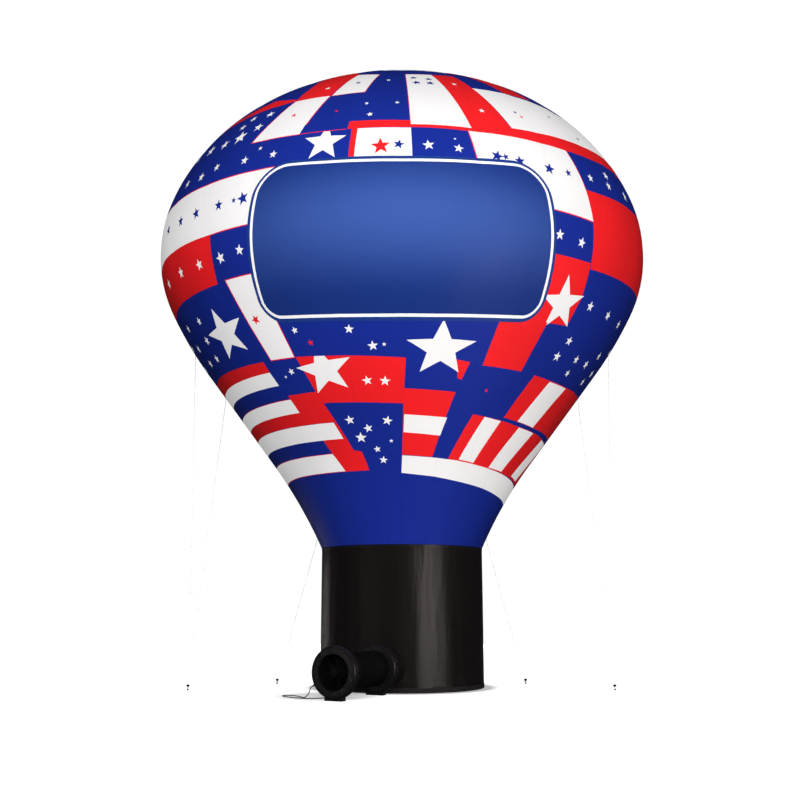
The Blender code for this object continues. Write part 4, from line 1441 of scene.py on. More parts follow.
@dataclass
class Banner:
    """A blank banner sewn on the skin: a rectangle with round corners, bowed as one looks along Y."""

    name: str
    side: float  # -1 on the front, 1 on the back
    half_width: float = 1.315
    low: float = 3.10
    high: float = 4.36
    taper: float = 0.11  # share by which the long edges are narrower
    bow: float = 0.07  # of the long edges' ends over their middles
    upper_corner: float = 0.28
    lower_corner: float = 0.18
    off: float = 0.002
    thick: float = 0.006
    hem: float = 0.010
    margin: float = 0.030
    line: float = 0.023
    cell: float = 0.05
    inks: tuple[int, ...] = (1, 1, 2, 0)  # places in BANNER_INKS, from the edge inwards

    def outline(self, inset: float) -> list[Pair]:
        """The banner's outline before it is bowed.

        Args:
            inset: How far inside the edge it is.

        Returns:
            Its points.
        """
        x, low, high = self.half_width - inset, self.low + inset, self.high - inset
        upper, lower = self.upper_corner - inset, self.lower_corner - inset
        corners = [(x, low, lower), (x, high, upper), (-x, high, upper), (-x, low, lower)]
        return filleted(corners, True, 14)

    def bowed(self, flat: np.ndarray) -> np.ndarray:
        """Bows points with the banner's edges.

        Args:
            flat: (x, z) of each point in the rectangle.

        Returns:
            (x, z) of each point as one looks along Y.
        """
        middle, half = (self.low + self.high) / 2, (self.high - self.low) / 2
        across = flat[:, 0] * (1 - self.taper * ((flat[:, 1] - middle) / half) ** 2)
        lift = self.bow * (flat[:, 0] / self.half_width) ** 2
        return np.stack((across, flat[:, 1] + lift), axis=-1)

    def build(self) -> None:
        insets = (0.0, self.hem, self.margin, self.margin + self.line)
        columns = round(2 * self.half_width / self.cell)
        rows = round((self.high - self.low) / self.cell)
        xs = [-self.half_width + 2 * self.half_width * k / columns for k in range(columns + 1)]
        zs = [self.low + (self.high - self.low) * k / rows for k in range(rows + 1)]
        flat, triangles, tops = FlatCut(xs, zs, [self.outline(i) for i in insets]).cut()
        flat, triangles = compact(flat, triangles[tops >= 0])
        tops = tops[tops >= 0]
        lift = np.array([self.raised(x, z) for x, z in flat])
        upper, normals = self.on_skin(flat, lift)
        under, _ = self.on_skin(flat, np.full(len(flat), self.off * 0.5))
        shape = Shape([Vector(p) for p in (*upper, *under)])
        count = len(flat)
        order = (triangles if self.side < 0 else triangles[:, ::-1]).tolist()
        shape.faces = [tuple(face) for face in order]
        shape.faces += [tuple(count + i for i in face[::-1]) for face in order]
        edges = dict.fromkeys((a, b) for face in order for a, b in zip(face, face[1:] + face[:1]))
        shape.faces += [(b, a, count + a, count + b) for a, b in edges if (b, a) not in edges]
        face_inks = [self.inks[top] for top in tops]
        shape.inks = face_inks + [self.inks[0]] * (len(shape.faces) - len(face_inks))
        shape.cloth = [[tuple(flat[i % count]) for i in face] for face in shape.faces]
        piece = shape.piece(f"{self.name}_cloth", BANNER_INKS, Slot.BANNER, (self.name,), sharp=50)
        smooth = np.concatenate((normals, -normals))
        piece.data.normals_split_custom_set_from_vertices(smooth.tolist())
        width, tall, area = self.flat_size()
        LOG.info("%s was cut to %.2f x %.2f m", piece.name, width, tall)

    def raised(self, x: float, z: float) -> float:
        """How far the banner's face stands off the skin at a point."""
        return self.off + self.thick * eased(self.depth(x, z), -0.001, self.hem)

    def depth(self, x: float, z: float) -> float:
        """How far inside the banner's edge a point is.

        Args:
            x: Its place across, from the middle.
            z: Its height before the banner is bowed.

        Returns:
            The distance.
        """
        right, up = self.half_width - abs(x), min(z - self.low, self.high - z)
        corner = self.upper_corner if z > (self.low + self.high) / 2 else self.lower_corner
        if right < corner and up < corner:
            return corner - math.hypot(corner - right, corner - up)
        return min(right, up)

    def on_skin(self, flat: np.ndarray, lift: np.ndarray) -> tuple[np.ndarray, np.ndarray]:
        """Points and normals on the skin.

        Args:
            flat: (x, z) of each point before it is bowed.
            lift: How far each stands off the skin.

        Returns:
            The points and their normals.
        """
        seen = self.bowed(flat)
        arc = SKIN.outline.arc_at(seen[:, 1])
        radius = SKIN.outline.at(arc)[0]
        around = np.degrees(np.arcsin(np.clip(seen[:, 0] / radius, -1, 1)))
        around = around if self.side < 0 else 180 - around
        return SKIN.place(around, arc, lift), SKIN.normals(around, arc)

    def flat_size(self) -> tuple[float, float, float]:
        """The size that the banner was cut to.

        Returns:
            Its width, height and area.
        """
        tall = float(SKIN.outline.arc_at(self.high) - SKIN.outline.arc_at(self.low))
        widest = float(SKIN.outline.rows[:, 1].max())
        width = 2 * widest * math.asin(self.half_width / widest)
        corners = (4 - math.pi) * (self.upper_corner**2 + self.lower_corner**2) / 2
        area = width * tall * (1 - self.taper / 3) - corners
        return round(width, 3), round(tall, 3), area


# Tethers


@dataclass
class Tether:
    """A sewn patch with a webbing keeper, a steel ring in it, and a line down to a stake."""

    name: str
    height: float
    angle: float  # degrees behind the X axis
    side: float
    stake: Pair
    sideways: float
    patch_radius: float = 0.11
    patch_thick: float = 0.004
    # share of the radius, and of the thickness off the skin
    patch_rings: tuple[Pair, ...] = (
        (0.0, 1.0), (0.35, 1.0), (0.7, 1.0), (0.88, 0.95),
        (0.93, 0.65), (0.97, 0.9), (1.0, 0.5), (1.0, -0.6),
    )
    keeper_width: float = 0.034
    keeper_thick: float = 0.0014
    keeper_reach: float = 0.062
    ring_radius: float = 0.026
    ring_wire: float = 0.004
    rope: float = 0.003
    knot_drop: float = 0.010
    tail: tuple[Pair, ...] = ((0.0, 0.0), (0.012, 0.004), (0.034, 0.010))  # down the line, and off it
    foot_height: float = 0.019
    stake_radius: float = 0.009

    def build(self) -> None:
        """Builds the patch, the ring and the line."""
        node = f"tether_ring_{self.name}"
        middle = sum(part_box(node), Vector()) / 2
        turn = math.radians(self.angle)
        around = math.degrees(math.atan2(self.side * math.cos(turn), -math.sin(turn)))
        base = Vector((*self.stake, 0))
        arc = float(SKIN.outline.arc_at(self.height))
        self.patch(around, arc)
        across = Vector((0, 0, 1)).cross(SKIN.facing(around, arc)).normalized()
        aim = (base - middle).normalized()
        axis = aim.cross(across).normalized()
        section = [(self.ring_radius + x, y) for x, y in round_section(self.ring_wire)][::-1]
        shape = Shape().add(turned(section, 48), frame_of(across, axis.cross(across), axis, middle))
        shape.piece(f"{node}_torus", PLATED, Slot.STEEL, (node,))
        self.keeper(around, arc, middle, aim, across)
        self.line(middle, aim, across, base)

    def patch(self, around: float, arc: float) -> None:
        """The round patch on the skin, with a rolled edge.

        Args:
            around: Degrees round of its middle.
            arc: Metres up the cloth of its middle.
        """
        metres = math.radians(1) * float(SKIN.outline.at(arc)[0])
        shape = Shape()
        steps = 48
        for share, lift in self.patch_rings:
            for k in range(steps if share else 1):
                a = 2 * math.pi * k / steps
                x, y = self.patch_radius * share * math.cos(a), self.patch_radius * share * math.sin(a)
                shape.points.append(SKIN.spot(around + x / metres, arc + y, self.patch_thick * lift))
        sides = [(k, (k + 1) % steps) for k in range(steps)]
        shape.faces = [(0, 1 + k, 1 + n) for k, n in sides]
        for a in range(1, 1 + steps * (len(self.patch_rings) - 2), steps):
            shape.faces += [(a + k, a + steps + k, a + steps + n, a + n) for k, n in sides]
        offs = [point - shape.points[0] for point in shape.points]
        shape.cloth = [[(offs[i].x, offs[i].z) for i in face] for face in shape.faces]
        shape.inks = [0] * len(shape.faces)
        node = f"tether_patch_{self.name}"
        shape.piece(f"{node}_disc", SKIN_INKS[0], Slot.ENVELOPE, (node,))

    def keeper(self, around: float, arc: float, middle: Vector, aim: Vector, across: Vector) -> None:
        """The webbing that is sewn down on the patch and runs round the ring's wire.

        Args:
            around: Degrees round of the patch's middle.
            arc: Metres up the cloth of the patch's middle.
            middle: The ring's middle.
            aim: The way to the stake.
            across: Sideways on the patch.
        """
        normal = SKIN.facing(around, arc)
        up = normal.cross(across).normalized()
        foot = SKIN.spot(around, arc, self.patch_thick)
        hold = middle - aim * self.ring_radius
        half = self.keeper_thick / 2 + 0.0002
        wrap = self.ring_wire + half
        # place up the patch, and how far off it
        rows = ((self.keeper_reach, half), (0.020, half), (0.008, half + 0.002))
        path = [foot + up * along + normal * off for along, off in rows]
        for k in range(9):
            a = math.radians(215 - 250 * k / 8)
            path.append(hold + up * (wrap * math.cos(a)) + normal * (wrap * math.sin(a)))
        path += [foot - up * along + normal * off for along, off in rows[::-1]]
        shape = self.strap_along(smooth_path(path, 0.004), across)
        shape.piece(f"tether_keeper_{self.name}", STRAP, Slot.WEBBING)

    def strap_along(self, path: list[Vector], across: Vector) -> Shape:
        """A flat strap along a path whose width lies along one direction.

        Args:
            path: The strap's middle line.
            across: The way of its width.

        Returns:
            The strap.
        """
        half, thick = self.keeper_width / 2, self.keeper_thick / 2
        rings = []
        for i, point in enumerate(path):
            along = (path[min(i + 1, len(path) - 1)] - path[max(i - 1, 0)]).normalized()
            face = across.cross(along).normalized()
            corners = ((-half, -thick), (half, -thick), (half, thick), (-half, thick))
            rings.append([point + across * x + face * y for x, y in corners])
        sides = [(0.0, 2 * half), (0.0, 2 * thick)] * 2
        return lofted(rings, sides, walked(path), caps=[(0.0, 0.0)] * 4)

    def line(self, middle: Vector, aim: Vector, across: Vector, base: Vector) -> None:
        """The line with its knot at the ring and its turns round the stake.

        Args:
            middle: The ring's middle.
            aim: The way to the stake.
            across: Sideways on the patch.
            base: The stake's foot.
        """
        top = middle + aim * (self.ring_radius + self.ring_wire + GAP)
        level = Vector((top.x - base.x, top.y - base.y, 0)).normalized()
        aside = Vector((-level.y, level.x, 0))
        foot = base + level * (self.stake_radius + self.rope + GAP) + aside * self.sideways
        foot.z = self.foot_height
        along = (foot - top).normalized()
        normal = along.orthogonal().normalized()
        shape = Shape().add(swept([top, foot], round_section(self.rope, 10)))
        # a loop through the ring, and four tight turns below it
        loop = helix(top - aim * self.ring_wire, aim, aim.cross(across), self.ring_wire + self.rope, 16)
        shape.add(swept(loop[:-1], round_section(self.rope * 0.95, 8), closed=True))
        start = top + along * self.knot_drop
        rise = along * self.rope * 1.9
        coil = helix(start, normal, along.cross(normal), self.rope * 1.75, 14, 4, rise)
        shape.add(swept(coil, round_section(self.rope * 0.85, 8)))
        tail = [coil[-1] + along * down + normal * out for down, out in self.tail]
        shape.add(swept(smooth_path(tail, 0.006), round_section(self.rope * 0.85, 8)))
        # two turns round the stake, the upper line's above the lower one's
        reach, rise = self.stake_radius + self.rope * 0.9, Vector((0, 0, self.rope * 1.9))
        lift = Vector((0, 0, self.foot_height + (self.rope * 2 if self.sideways > 0 else 0)))
        hitch = helix(base + lift - rise, level, aside, reach, 20, 2, rise)
        shape.add(swept(hitch, round_section(self.rope * 0.9, 8)))
        node = f"guy_line_{self.name}"
        shape.piece(f"{node}_rope", ROPE, Slot.ROPE, (node,))


@dataclass
class Stake:
    """The head and neck of a driven steel stake."""

    name: str
    place: Pair
    radius: float = 0.009
    head: float = 0.016
    crown: float = 0.010
    neck_height: float = 0.038
    height: float = 0.052

    def build(self) -> None:
        """Builds the stake."""
        section = [
            (0.0, self.height),
            (self.crown, self.height, 0.004),
            (self.head, self.height - 0.004, 0.003),
            (self.head, self.neck_height, 0.002),
            (self.radius, self.neck_height, 0.002),
            (self.radius, 0.0),
            (0.0, 0.0),
        ]
        spot = Matrix.Translation((*self.place, 0))
        node = f"stake_{self.name}"
        shape = Shape().add(turned(filleted(section, False), 40, False), spot)
        shape.piece(f"{node}_head", PAINTED, Slot.PAINT, (node,))


# The pedestal


@dataclass
class Pedestal:
    """Black drum of coated fabric: wall, hems, floor and the zip's flap at the back."""

    radius: float = 0.795
    height: float = 1.322
    hem: float = 0.045
    panel_seams: tuple[float, ...] = (-26.0, 64.0, 154.0, 244.0)
    columns: int = 180
    row: float = 0.045
    foot: float = 0.004  # the wall's lower edge
    stitch_pitch: float = 0.011
    flap_low: float = 0.22
    flap_height: float = 0.90
    flap_width: float = 0.085

    def lift(self, around: np.ndarray, height: np.ndarray) -> np.ndarray:
        """How far the wall stands off its drum: soft pulls, and a pinch at each panel seam.

        Args:
            around: Degrees from the front.
            height: Metres above the ground.

        Returns:
            The distances.
        """
        a = np.radians(around)
        pulls = 0.0014 * np.sin(5 * a + 0.6) + 0.0010 * np.sin(13 * a + 2.0 * height)
        pulls += 0.0008 * np.sin(29 * a + 3.0) * np.sin(2.2 * height + 0.5)
        low = np.exp(-height / 0.10) * 0.0020 * np.sin(41 * a + 1.0)
        high = np.exp((height - self.height) / 0.12) * 0.0020 * np.cos(72 * a)
        total = pulls + low + high - 0.0030
        for seam in self.panel_seams:
            off = np.abs((around - seam + 180) % 360 - 180)
            total -= 0.0022 * np.exp(-((off / 1.1) ** 2))
        return total

    def point(self, around: np.ndarray, height: np.ndarray) -> np.ndarray:
        """Points of the wall.

        Args:
            around: Degrees from the front.
            height: Metres above the ground.

        Returns:
            The points, a row each.
        """
        radius = self.radius + self.lift(around, height)
        a = np.radians(around)
        return np.stack((radius * np.sin(a), -radius * np.cos(a), height), axis=-1)

    def spot(self, aside: float, height: float, out: float = 0.0) -> Vector:
        """A point at the back of the wall.

        Args:
            aside: Metres from the middle of the back.
            height: Its height.
            out: How far it stands off the wall.

        Returns:
            The point.
        """
        around = 180 - math.degrees(aside / self.radius)
        a = math.radians(around)
        point = Vector(self.point(np.array([around]), np.array([height]))[0])
        return point + Vector((math.sin(a), -math.cos(a), 0)) * out

    def build(self) -> None:
        """Builds the wall, the hems, the floor and the flap."""
        self.wall()
        self.bands()
        self.floor()
        self.flap()

    def wall(self) -> None:
        """The wall, with the sleeve's hole."""
        metres = math.radians(1) * self.radius
        lines = [(-180.0 + 360.0 * k / self.columns) * metres for k in range(self.columns + 1)]
        rows = round((self.height - self.foot) / self.row)
        heights = [self.foot + (self.height - self.foot) * k / rows for k in range(rows + 1)]
        hole = [(a * metres, z) for a, z in FAN.hole_on_drum(self.radius, FAN.sleeve_mouth - 0.006)]
        flat, triangles, tops = FlatCut(lines, heights, [hole]).cut()
        flat, triangles = compact(flat, triangles[tops < 0])
        points = self.point(flat[:, 0] / metres, flat[:, 1])
        kept, joined = merged(points)
        shape = Shape([Vector(p) for p in points[kept]])
        for face in triangles:
            shape.face(joined[face].tolist(), [tuple(flat[i]) for i in face])
        shape.piece("pedestal_wall_cloth", TARPAULIN, Slot.PEDESTAL, ("pedestal_wall",), sharp=60)

    def band(self, low: float, high: float, thick: float) -> Shape:
        """A strip sewn round the wall.

        Args:
            low: Its lower edge.
            high: Its upper edge.
            thick: How far it stands off the wall.

        Returns:
            The strip.
        """
        around = np.linspace(0, 360, self.columns, endpoint=False)
        a = np.radians(around)
        profile = ((low, -0.001), (low, thick * 0.7), (low + 0.002, thick), (high - 0.002, thick),
                   (high, thick * 0.7), (high, -0.001))
        rings = []
        for height, off in profile:
            radius = self.radius + self.lift(around, np.full_like(around, min(height, self.height))) + off
            spots = zip(radius * np.sin(a), -radius * np.cos(a))
            rings.append([Vector((x, y, height)) for x, y in spots])
        step = 2 * math.pi * self.radius / self.columns
        sides = [(k * step, (k + 1) * step) for k in range(self.columns)]
        shape = lofted(rings, sides, [height for height, _ in profile], True)
        shape.cloth = [[(v, u) for u, v in marks] for marks in shape.cloth]
        return shape

    def stitches(self, height: float, thick: float) -> Shape:
        """A row of stitches round the wall.

        Args:
            height: The row's height.
            thick: How far the cloth under it stands off the wall.

        Returns:
            The stitches.
        """
        shape = Shape()
        stitch = block((0.0075, 0.0011, 0.0012))
        count = round(2 * math.pi * self.radius / self.stitch_pitch)
        around = np.arange(count) * 360.0 / count
        radius = self.radius + self.lift(around, np.full(count, height)) + thick
        for angle, reach in zip(around, radius):
            a = math.radians(float(angle))
            turn = Matrix.Rotation(a, 4, "Z")
            spot = Matrix.Translation((reach * math.sin(a), -reach * math.cos(a), height))
            shape.add(stitch, spot @ turn)
        return shape

    def bands(self) -> None:
        """The bottom hem and the strip at the top seam, with their stitches."""
        hem = self.band(0.003, self.hem, 0.0025)
        hem.piece("pedestal_hem", STRAP, Slot.WEBBING)
        top = self.band(self.height - 0.022, self.height + 0.0005, 0.0015)
        top.piece("pedestal_top_tape", TARPAULIN, Slot.PEDESTAL)
        rows = Shape()
        for height, thick in ((self.hem - 0.006, 0.0028), (0.012, 0.0028), (self.height - 0.017, 0.0018)):
            rows.add(self.stitches(height, thick))
        rows.piece("pedestal_stitches", THREAD, Slot.WEBBING)

    def floor(self) -> None:
        """The floor's cloth with a corded rim."""
        rim = self.radius - 0.006
        section = [
            (0.0, 0.006), (rim - 0.012, 0.006), (rim - 0.008, 0.010, 0.003), (rim, 0.010, 0.004),
            (rim + 0.004, 0.005, 0.003), (rim, 0.0, 0.004), (rim - 0.012, 0.0), (0.0, 0.0),
        ]
        shape = turned(filleted(section, False), self.columns, False)
        shape.piece("pedestal_floor_cloth", TARPAULIN, Slot.PEDESTAL, ("pedestal_floor",))

    def flap(self) -> None:
        """The flap over the zip, the zip's end and its pull below it."""
        low, tall, half = self.flap_low, self.flap_height, self.flap_width / 2
        xs = [-half, -half, -half + 0.003, -0.020, 0.0, 0.020, half - 0.003, half, half]
        lifts = [0.0, 0.0030, 0.0042, 0.0042, 0.0050, 0.0042, 0.0042, 0.0030, 0.0]
        heights = [low + tall * j / 40 for j in range(41)]
        rows = [[self.spot(x, z, lift) for x, lift in zip(xs, lifts)] for z in heights]
        shape = lofted(rows, list(zip(xs, xs[1:])), heights, caps=[(x, low) for x in xs])
        shape.piece("zip_flap_cloth", TARPAULIN, Slot.PEDESTAL, ("zip_flap",), sharp=60)
        stitches = Shape()
        stitch = block((0.0011, 0.0012, 0.0070))
        for x in (-half + 0.007, half - 0.007):
            for k in range(round(tall / self.stitch_pitch) - 1):
                spot = self.spot(x, low + 0.008 + self.stitch_pitch * k, 0.0043)
                stitches.add(stitch, Matrix.Translation(spot))
        stitches.piece("zip_stitches", THREAD, Slot.WEBBING)
        teeth = Shape()
        tooth = block((0.0042, 0.0022, 0.0016))
        z = low - 0.060
        while z < low - 0.002:
            for side in (-1, 1):
                shift = Vector((side * 0.0020, 0.0012, 0.0012 if side > 0 else 0))
                teeth.add(tooth, Matrix.Translation(self.spot(0.0, z) + shift))
            z += 0.0032
        teeth.piece("zip_teeth", PLASTIC, Slot.PLASTIC)
        spot = self.spot(0.0, low - 0.030)
        slider = Shape()
        body = block((0.015, 0.006, 0.020), 0.002, 2)
        slider.add(body, Matrix.Translation(spot + Vector((0, 0.005, 0))))
        pull = block((0.008, 0.0022, 0.036), 0.0009, 2)
        slider.add(pull, Matrix.Translation(spot + Vector((0, 0.0092, -0.022))))
        slider.piece("zip_slider", PLATED, Slot.STEEL)


# The fan


@dataclass
class Fan:
    """Tube fan between two thick rings, its sleeve into the pedestal, and its power cord's gland."""

    heading: float = math.radians(28)
    outlet: Triple = (-0.229, -0.930, 0.227)
    length: float = 0.68
    ring_radius: float = 0.215
    ring_half: float = 0.045
    ring_rounding: float = 0.026
    groove: float = 0.0018
    duct: float = 0.1475
    duct_wall: float = 0.005
    # node, front end, back end, beads' places
    ducts: tuple[tuple[str, float, float, tuple[float, ...]], ...] = (
        ("fan_barrel", 0.691, 0.340, (0.560, 0.500)),
        ("fan_rear_barrel", 0.340, 0.0, (0.180, 0.120)),
        ("outlet_collar", 0.0, -0.120, ()),
    )
    guard_place: float = 0.708
    guard_rings: tuple[float, ...] = (0.140, 0.1225, 0.105, 0.0875, 0.070, 0.0525, 0.035)
    impeller_place: float = 0.595
    impeller_radius: float = 0.130
    hub: float = 0.052
    hub_half: float = 0.025
    blades: int = 7
    chord: float = 0.046
    motor: Pair = (0.370, 0.540)
    motor_radius: float = 0.060
    fins: int = 11
    strut_half: float = 0.025
    strut_end: float = 0.1405
    sleeve_mouth: float = 0.172
    # place along the fan, clear of the collar, depth of the folds
    sleeve_stations: tuple[Triple, ...] = (
        (-0.0500, 0.0060, 0.0012),
        (-0.0515, 0.0085, 0.0012),
        (-0.0560, 0.0085, 0.0012),
        (-0.0640, 0.0062, 0.0010),
        (-0.0670, 0.0050, 0.0004),
        (-0.0825, 0.0048, 0.0003),
        (-0.0980, 0.0050, 0.0004),
        (-0.1020, 0.0070, 0.0022),
        (-0.1150, 0.0100, 0.0034),
        (-0.1350, 0.0160, 0.0036),
        (-0.1600, 0.0215, 0.0030),
        (-0.1900, 0.0225, 0.0024),
        (-0.2300, 0.0228, 0.0016),
        (-0.2800, 0.0228, 0.0010),
        (-0.3300, 0.0228, 0.0010),
    )
    strap_place: float = -0.0825
    # the buckle's blocks: size, place on the strap, rounding
    buckle: tuple[tuple[Triple, Triple, float], ...] = (
        ((0.050, 0.010, 0.038), (0.0, 0.0058, 0.0), 0.003),
        ((0.012, 0.006, 0.044), (-0.028, 0.0040, 0.0), 0.002),
        ((0.012, 0.006, 0.044), (0.028, 0.0040, 0.0), 0.002),
        ((0.020, 0.004, 0.005), (0.006, 0.0105, 0.014), 0.001),
        ((0.020, 0.004, 0.005), (0.006, 0.0105, -0.014), 0.001),
    )

    def frame(self, along: float = 0.0) -> Matrix:
        """A frame on the fan's axis, whose Z looks out of the inlet.

        Args:
            along: How far ahead of the outlet ring's middle it is.

        Returns:
            The frame.
        """
        ahead = Vector((-math.sin(self.heading), -math.cos(self.heading), 0))
        turn = Matrix.Rotation(-self.heading, 4, "Z") @ Matrix.Rotation(math.pi / 2, 4, "X")
        return Matrix.Translation(Vector(self.outlet) + ahead * along) @ turn

    def hole_on_drum(self, drum: float, radius: float) -> list[Pair]:
        """Where a tube round the fan's axis meets the pedestal.

        Args:
            drum: The pedestal's radius.
            radius: The tube's radius.

        Returns:
            Degrees round and heights.
        """
        place = self.frame()
        back = -(place.to_3x3() @ Vector((0, 0, 1)))
        found = []
        for k in range(48):
            start = place @ polar(radius, 2 * math.pi * k / 48)
            b = start.x * back.x + start.y * back.y
            c = start.x**2 + start.y**2 - drum**2
            hit = start + back * (-b - math.sqrt(b * b - c))
            found.append((math.degrees(math.atan2(hit.x, -hit.y)), hit.z))
        return found

    def build(self) -> None:
        """Builds every piece of the fan."""
        self.rings()
        self.tubes()
        self.guard()
        self.rotor()
        self.drive()
        self.feet()
        self.sleeve()
        self.strap()

    def ring_section(self) -> list[Pair]:
        """A ring's section: rounded outer edges, a shallow groove on the rim and a soft mouth.

        Returns:
            Its points.
        """
        half, outer, inner = self.ring_half, self.ring_radius, self.duct + GAP
        corners = [
            (inner, half, 0.004),
            (inner + 0.012, half),
            (outer, half, self.ring_rounding),
            (outer, 0.004, 0.001),
            (outer - self.groove, 0.002, 0.001),
            (outer - self.groove, -0.002, 0.001),
            (outer, -0.004, 0.001),
            (outer, -half, self.ring_rounding),
            (inner, -half, 0.004),
        ]
        return filleted(corners, True, 8)

    def rings(self) -> None:
        """The inlet's and the outlet's thick rings."""
        for name, along in (("fan_inlet_ring", self.length), ("fan_outlet_ring", 0.0)):
            shape = Shape().add(turned(self.ring_section(), 128), self.frame(along))
            shape.piece(f"{name}_moulding", PLASTIC, Slot.PLASTIC, (name,), sharp=40)

    def tubes(self) -> None:
        """The barrel in two lengths and the outlet's collar: rolled sheet with beads and soft ends."""
        outer, inner, soft = self.duct, self.duct - self.duct_wall, 0.0012
        for name, front, back, beads in self.ducts:
            top = front - GAP
            section: list[tuple[float, ...]] = [(inner, top), (outer - soft, top), (outer, top - soft)]
            for bead in beads:
                section += [(outer, bead + 0.009), (outer + 0.0035, bead, 0.004), (outer, bead - 0.009)]
            section += [(outer, back + soft), (outer - soft, back), (inner, back)]
            shape = Shape().add(turned(filleted(section, True), 128), self.frame())
            shape.piece(f"{name}_shell", PAINTED, Slot.PAINT, (name,))

    def guard(self) -> None:
        """Wire guard: rings, spokes and a round plate in the inlet's mouth."""
        shape = Shape()
        for radius in self.guard_rings:
            section = [(radius + x, y) for x, y in round_section(0.0018, 8)][::-1]
            shape.add(turned(section, 72))
        reach = (self.guard_rings[-1] * 0.9, self.duct - 0.002)
        for k in range(6):
            ends = [polar(radius, math.pi * k / 3, -0.0025) for radius in reach]
            shape.add(swept(ends, round_section(0.002, 8)))
        plate = [(0.0, 0.003), (0.034, 0.003, 0.002), (0.034, -0.001), (0.0, -0.001)]
        shape.add(turned(filleted(plate, False), 48, False))
        made = Shape().add(shape, self.frame(self.guard_place))
        made.piece("fan_guard_wires", WIRE, Slot.PAINT, ("fan_guard",))

    def rotor(self) -> None:
        """Impeller: a rounded hub with twisted blades and its shaft, which turn together."""
        half, nose, shaft = self.hub_half, 0.014, 0.008
        section = [
            (0.0, half + nose),
            (self.hub * 0.62, half + nose * 0.85, 0.020),
            (self.hub, half * 0.5, 0.012),
            (self.hub, -half, 0.002),
            (shaft, -half),
            (shaft, -0.070),
            (0.0, -0.070),
        ]
        shape = turned(filleted(section, False, 6), 72, False)
        for k in range(self.blades):
            shape.add(self.blade(), Matrix.Rotation(2 * math.pi * k / self.blades, 4, "Z"))
        made = Shape().add(shape, self.frame(self.impeller_place))
        # the blades take the darker moulding: painted shade for the inside of the duct
        made.piece("fan_impeller_blades", SHADED_BLADES, Slot.PLASTIC, ("fan_impeller",), ROTOR, 40)

    def blade(self) -> Shape:
        """One blade: an aerofoil that twists and widens outwards.

        Returns:
            The blade.
        """
        stations, around = 9, 14
        root = self.hub * 0.9
        rings = []
        for i in range(stations):
            t = i / (stations - 1)
            radius = root + (self.impeller_radius - root) * t
            bulge = 0.006 * math.sin(math.pi * min(1.0, t * 0.8 + 0.1))
            chord = self.chord + bulge - 0.010 * max(0.0, t - 0.85) / 0.15
            pitch = math.radians(46 - 16 * t)
            ring = []
            for k in range(around):
                a = 2 * math.pi * k / around
                x = chord / 2 * math.cos(a)
                thick = 0.0021 * math.sin(a) * (1.15 + 0.6 * math.cos(a))
                y = thick + 0.0030 * (1 - (2 * x / chord) ** 2)
                side = x * math.cos(pitch) - y * math.sin(pitch) + 0.006 * t * t
                ring.append(polar(radius, side / radius, x * math.sin(pitch) + y * math.cos(pitch)))
            rings.append(ring)
        sides = [(k * 0.003, (k + 1) % around * 0.003) for k in range(around)]
        return lofted(rings, sides, [i * 0.01 for i in range(stations)], True, [(0.0, 0.0)] * around)

    def drive(self) -> None:
        """Motor with cooling fins, and the struts that hold it in the barrel."""
        low, high = self.motor
        radius = self.motor_radius
        inset = high - 0.020  # the bearing's face
        section: list[tuple[float, ...]] = [(0.0, inset), (0.0085, inset), (0.0085, high)]
        section += [(radius * 0.55, high, 0.004), (radius * 0.92, high - 0.016, 0.004)]
        fin = (high - low - 0.052) / self.fins
        for k in range(self.fins):
            z = high - 0.024 - fin * k
            section += [(radius * 0.93, z), (radius, z - 0.0015)]
            section += [(radius, z - fin * 0.45), (radius * 0.93, z - fin * 0.55)]
        section += [(radius * 0.92, low + 0.016, 0.004), (radius * 0.7, low, 0.004), (0.0, low)]
        motor = Shape().add(turned(filleted(section, False, 3), 72, False), self.frame())
        motor.piece("fan_motor_case", PAINTED, Slot.PAINT, ("fan_motor",))
        inner, half = radius + GAP, self.strut_half
        ring = [(inner + 0.004, half), (inner + 0.004, -half), (inner, -half), (inner, half)]
        struts = turned(ring, 72)
        reach = self.strut_end - inner - 0.002
        for k in range(4):
            turn = Matrix.Rotation(math.pi / 4 + math.pi / 2 * k, 4, "Z")
            arm = block((reach, 0.006, 2 * half), 0.0015, 2)
            struts.add(arm, turn @ Matrix.Translation((inner + 0.002 + reach / 2, 0, 0)))
        made = Shape().add(struts, self.frame((low + high) / 2))
        made.piece("motor_strut_arms", PAINTED, Slot.PAINT, ("motor_struts",))

    def feet(self) -> None:
        """Rubber saddles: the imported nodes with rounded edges."""
        for name in ("fan_foot_inlet", "fan_foot_outlet"):
            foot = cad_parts[name]
            foot.data.materials.clear()
            foot.data.materials.append(RUBBER.material())
            rounding = foot.modifiers.new("rounding", "BEVEL")
            rounding.width = 0.003
            rounding.segments = 3
            rounding.limit_method = "ANGLE"
            rounding.angle_limit = math.radians(40)

    def sleeve(self) -> None:
        """Fabric sleeve: gathered under its strap, with loose folds on the way into the pedestal."""
        steps = 216
        rings = []
        for along, clear, depth in self.sleeve_stations:
            ring = []
            for k in range(steps):
                a = 2 * math.pi * k / steps
                fold = 0.55 * math.sin(27 * a + 14 * along) + 0.45 * math.sin(16 * a - 9 * along + 1.7)
                ring.append(self.frame() @ polar(self.duct + GAP + clear + depth * fold, a, along))
            rings.append(ring)
        sides = [(k / steps, (k + 1) / steps) for k in range(steps)]
        shape = lofted(rings, sides, [station[0] for station in self.sleeve_stations])
        piece = shape.piece(
            "inflation_sleeve_cloth", TARPAULIN, Slot.PEDESTAL, ("inflation_sleeve",), sharp=70
        )
        wall = piece.modifiers.new("wall", "SOLIDIFY")
        wall.thickness = 0.0012
        wall.offset = -1.0

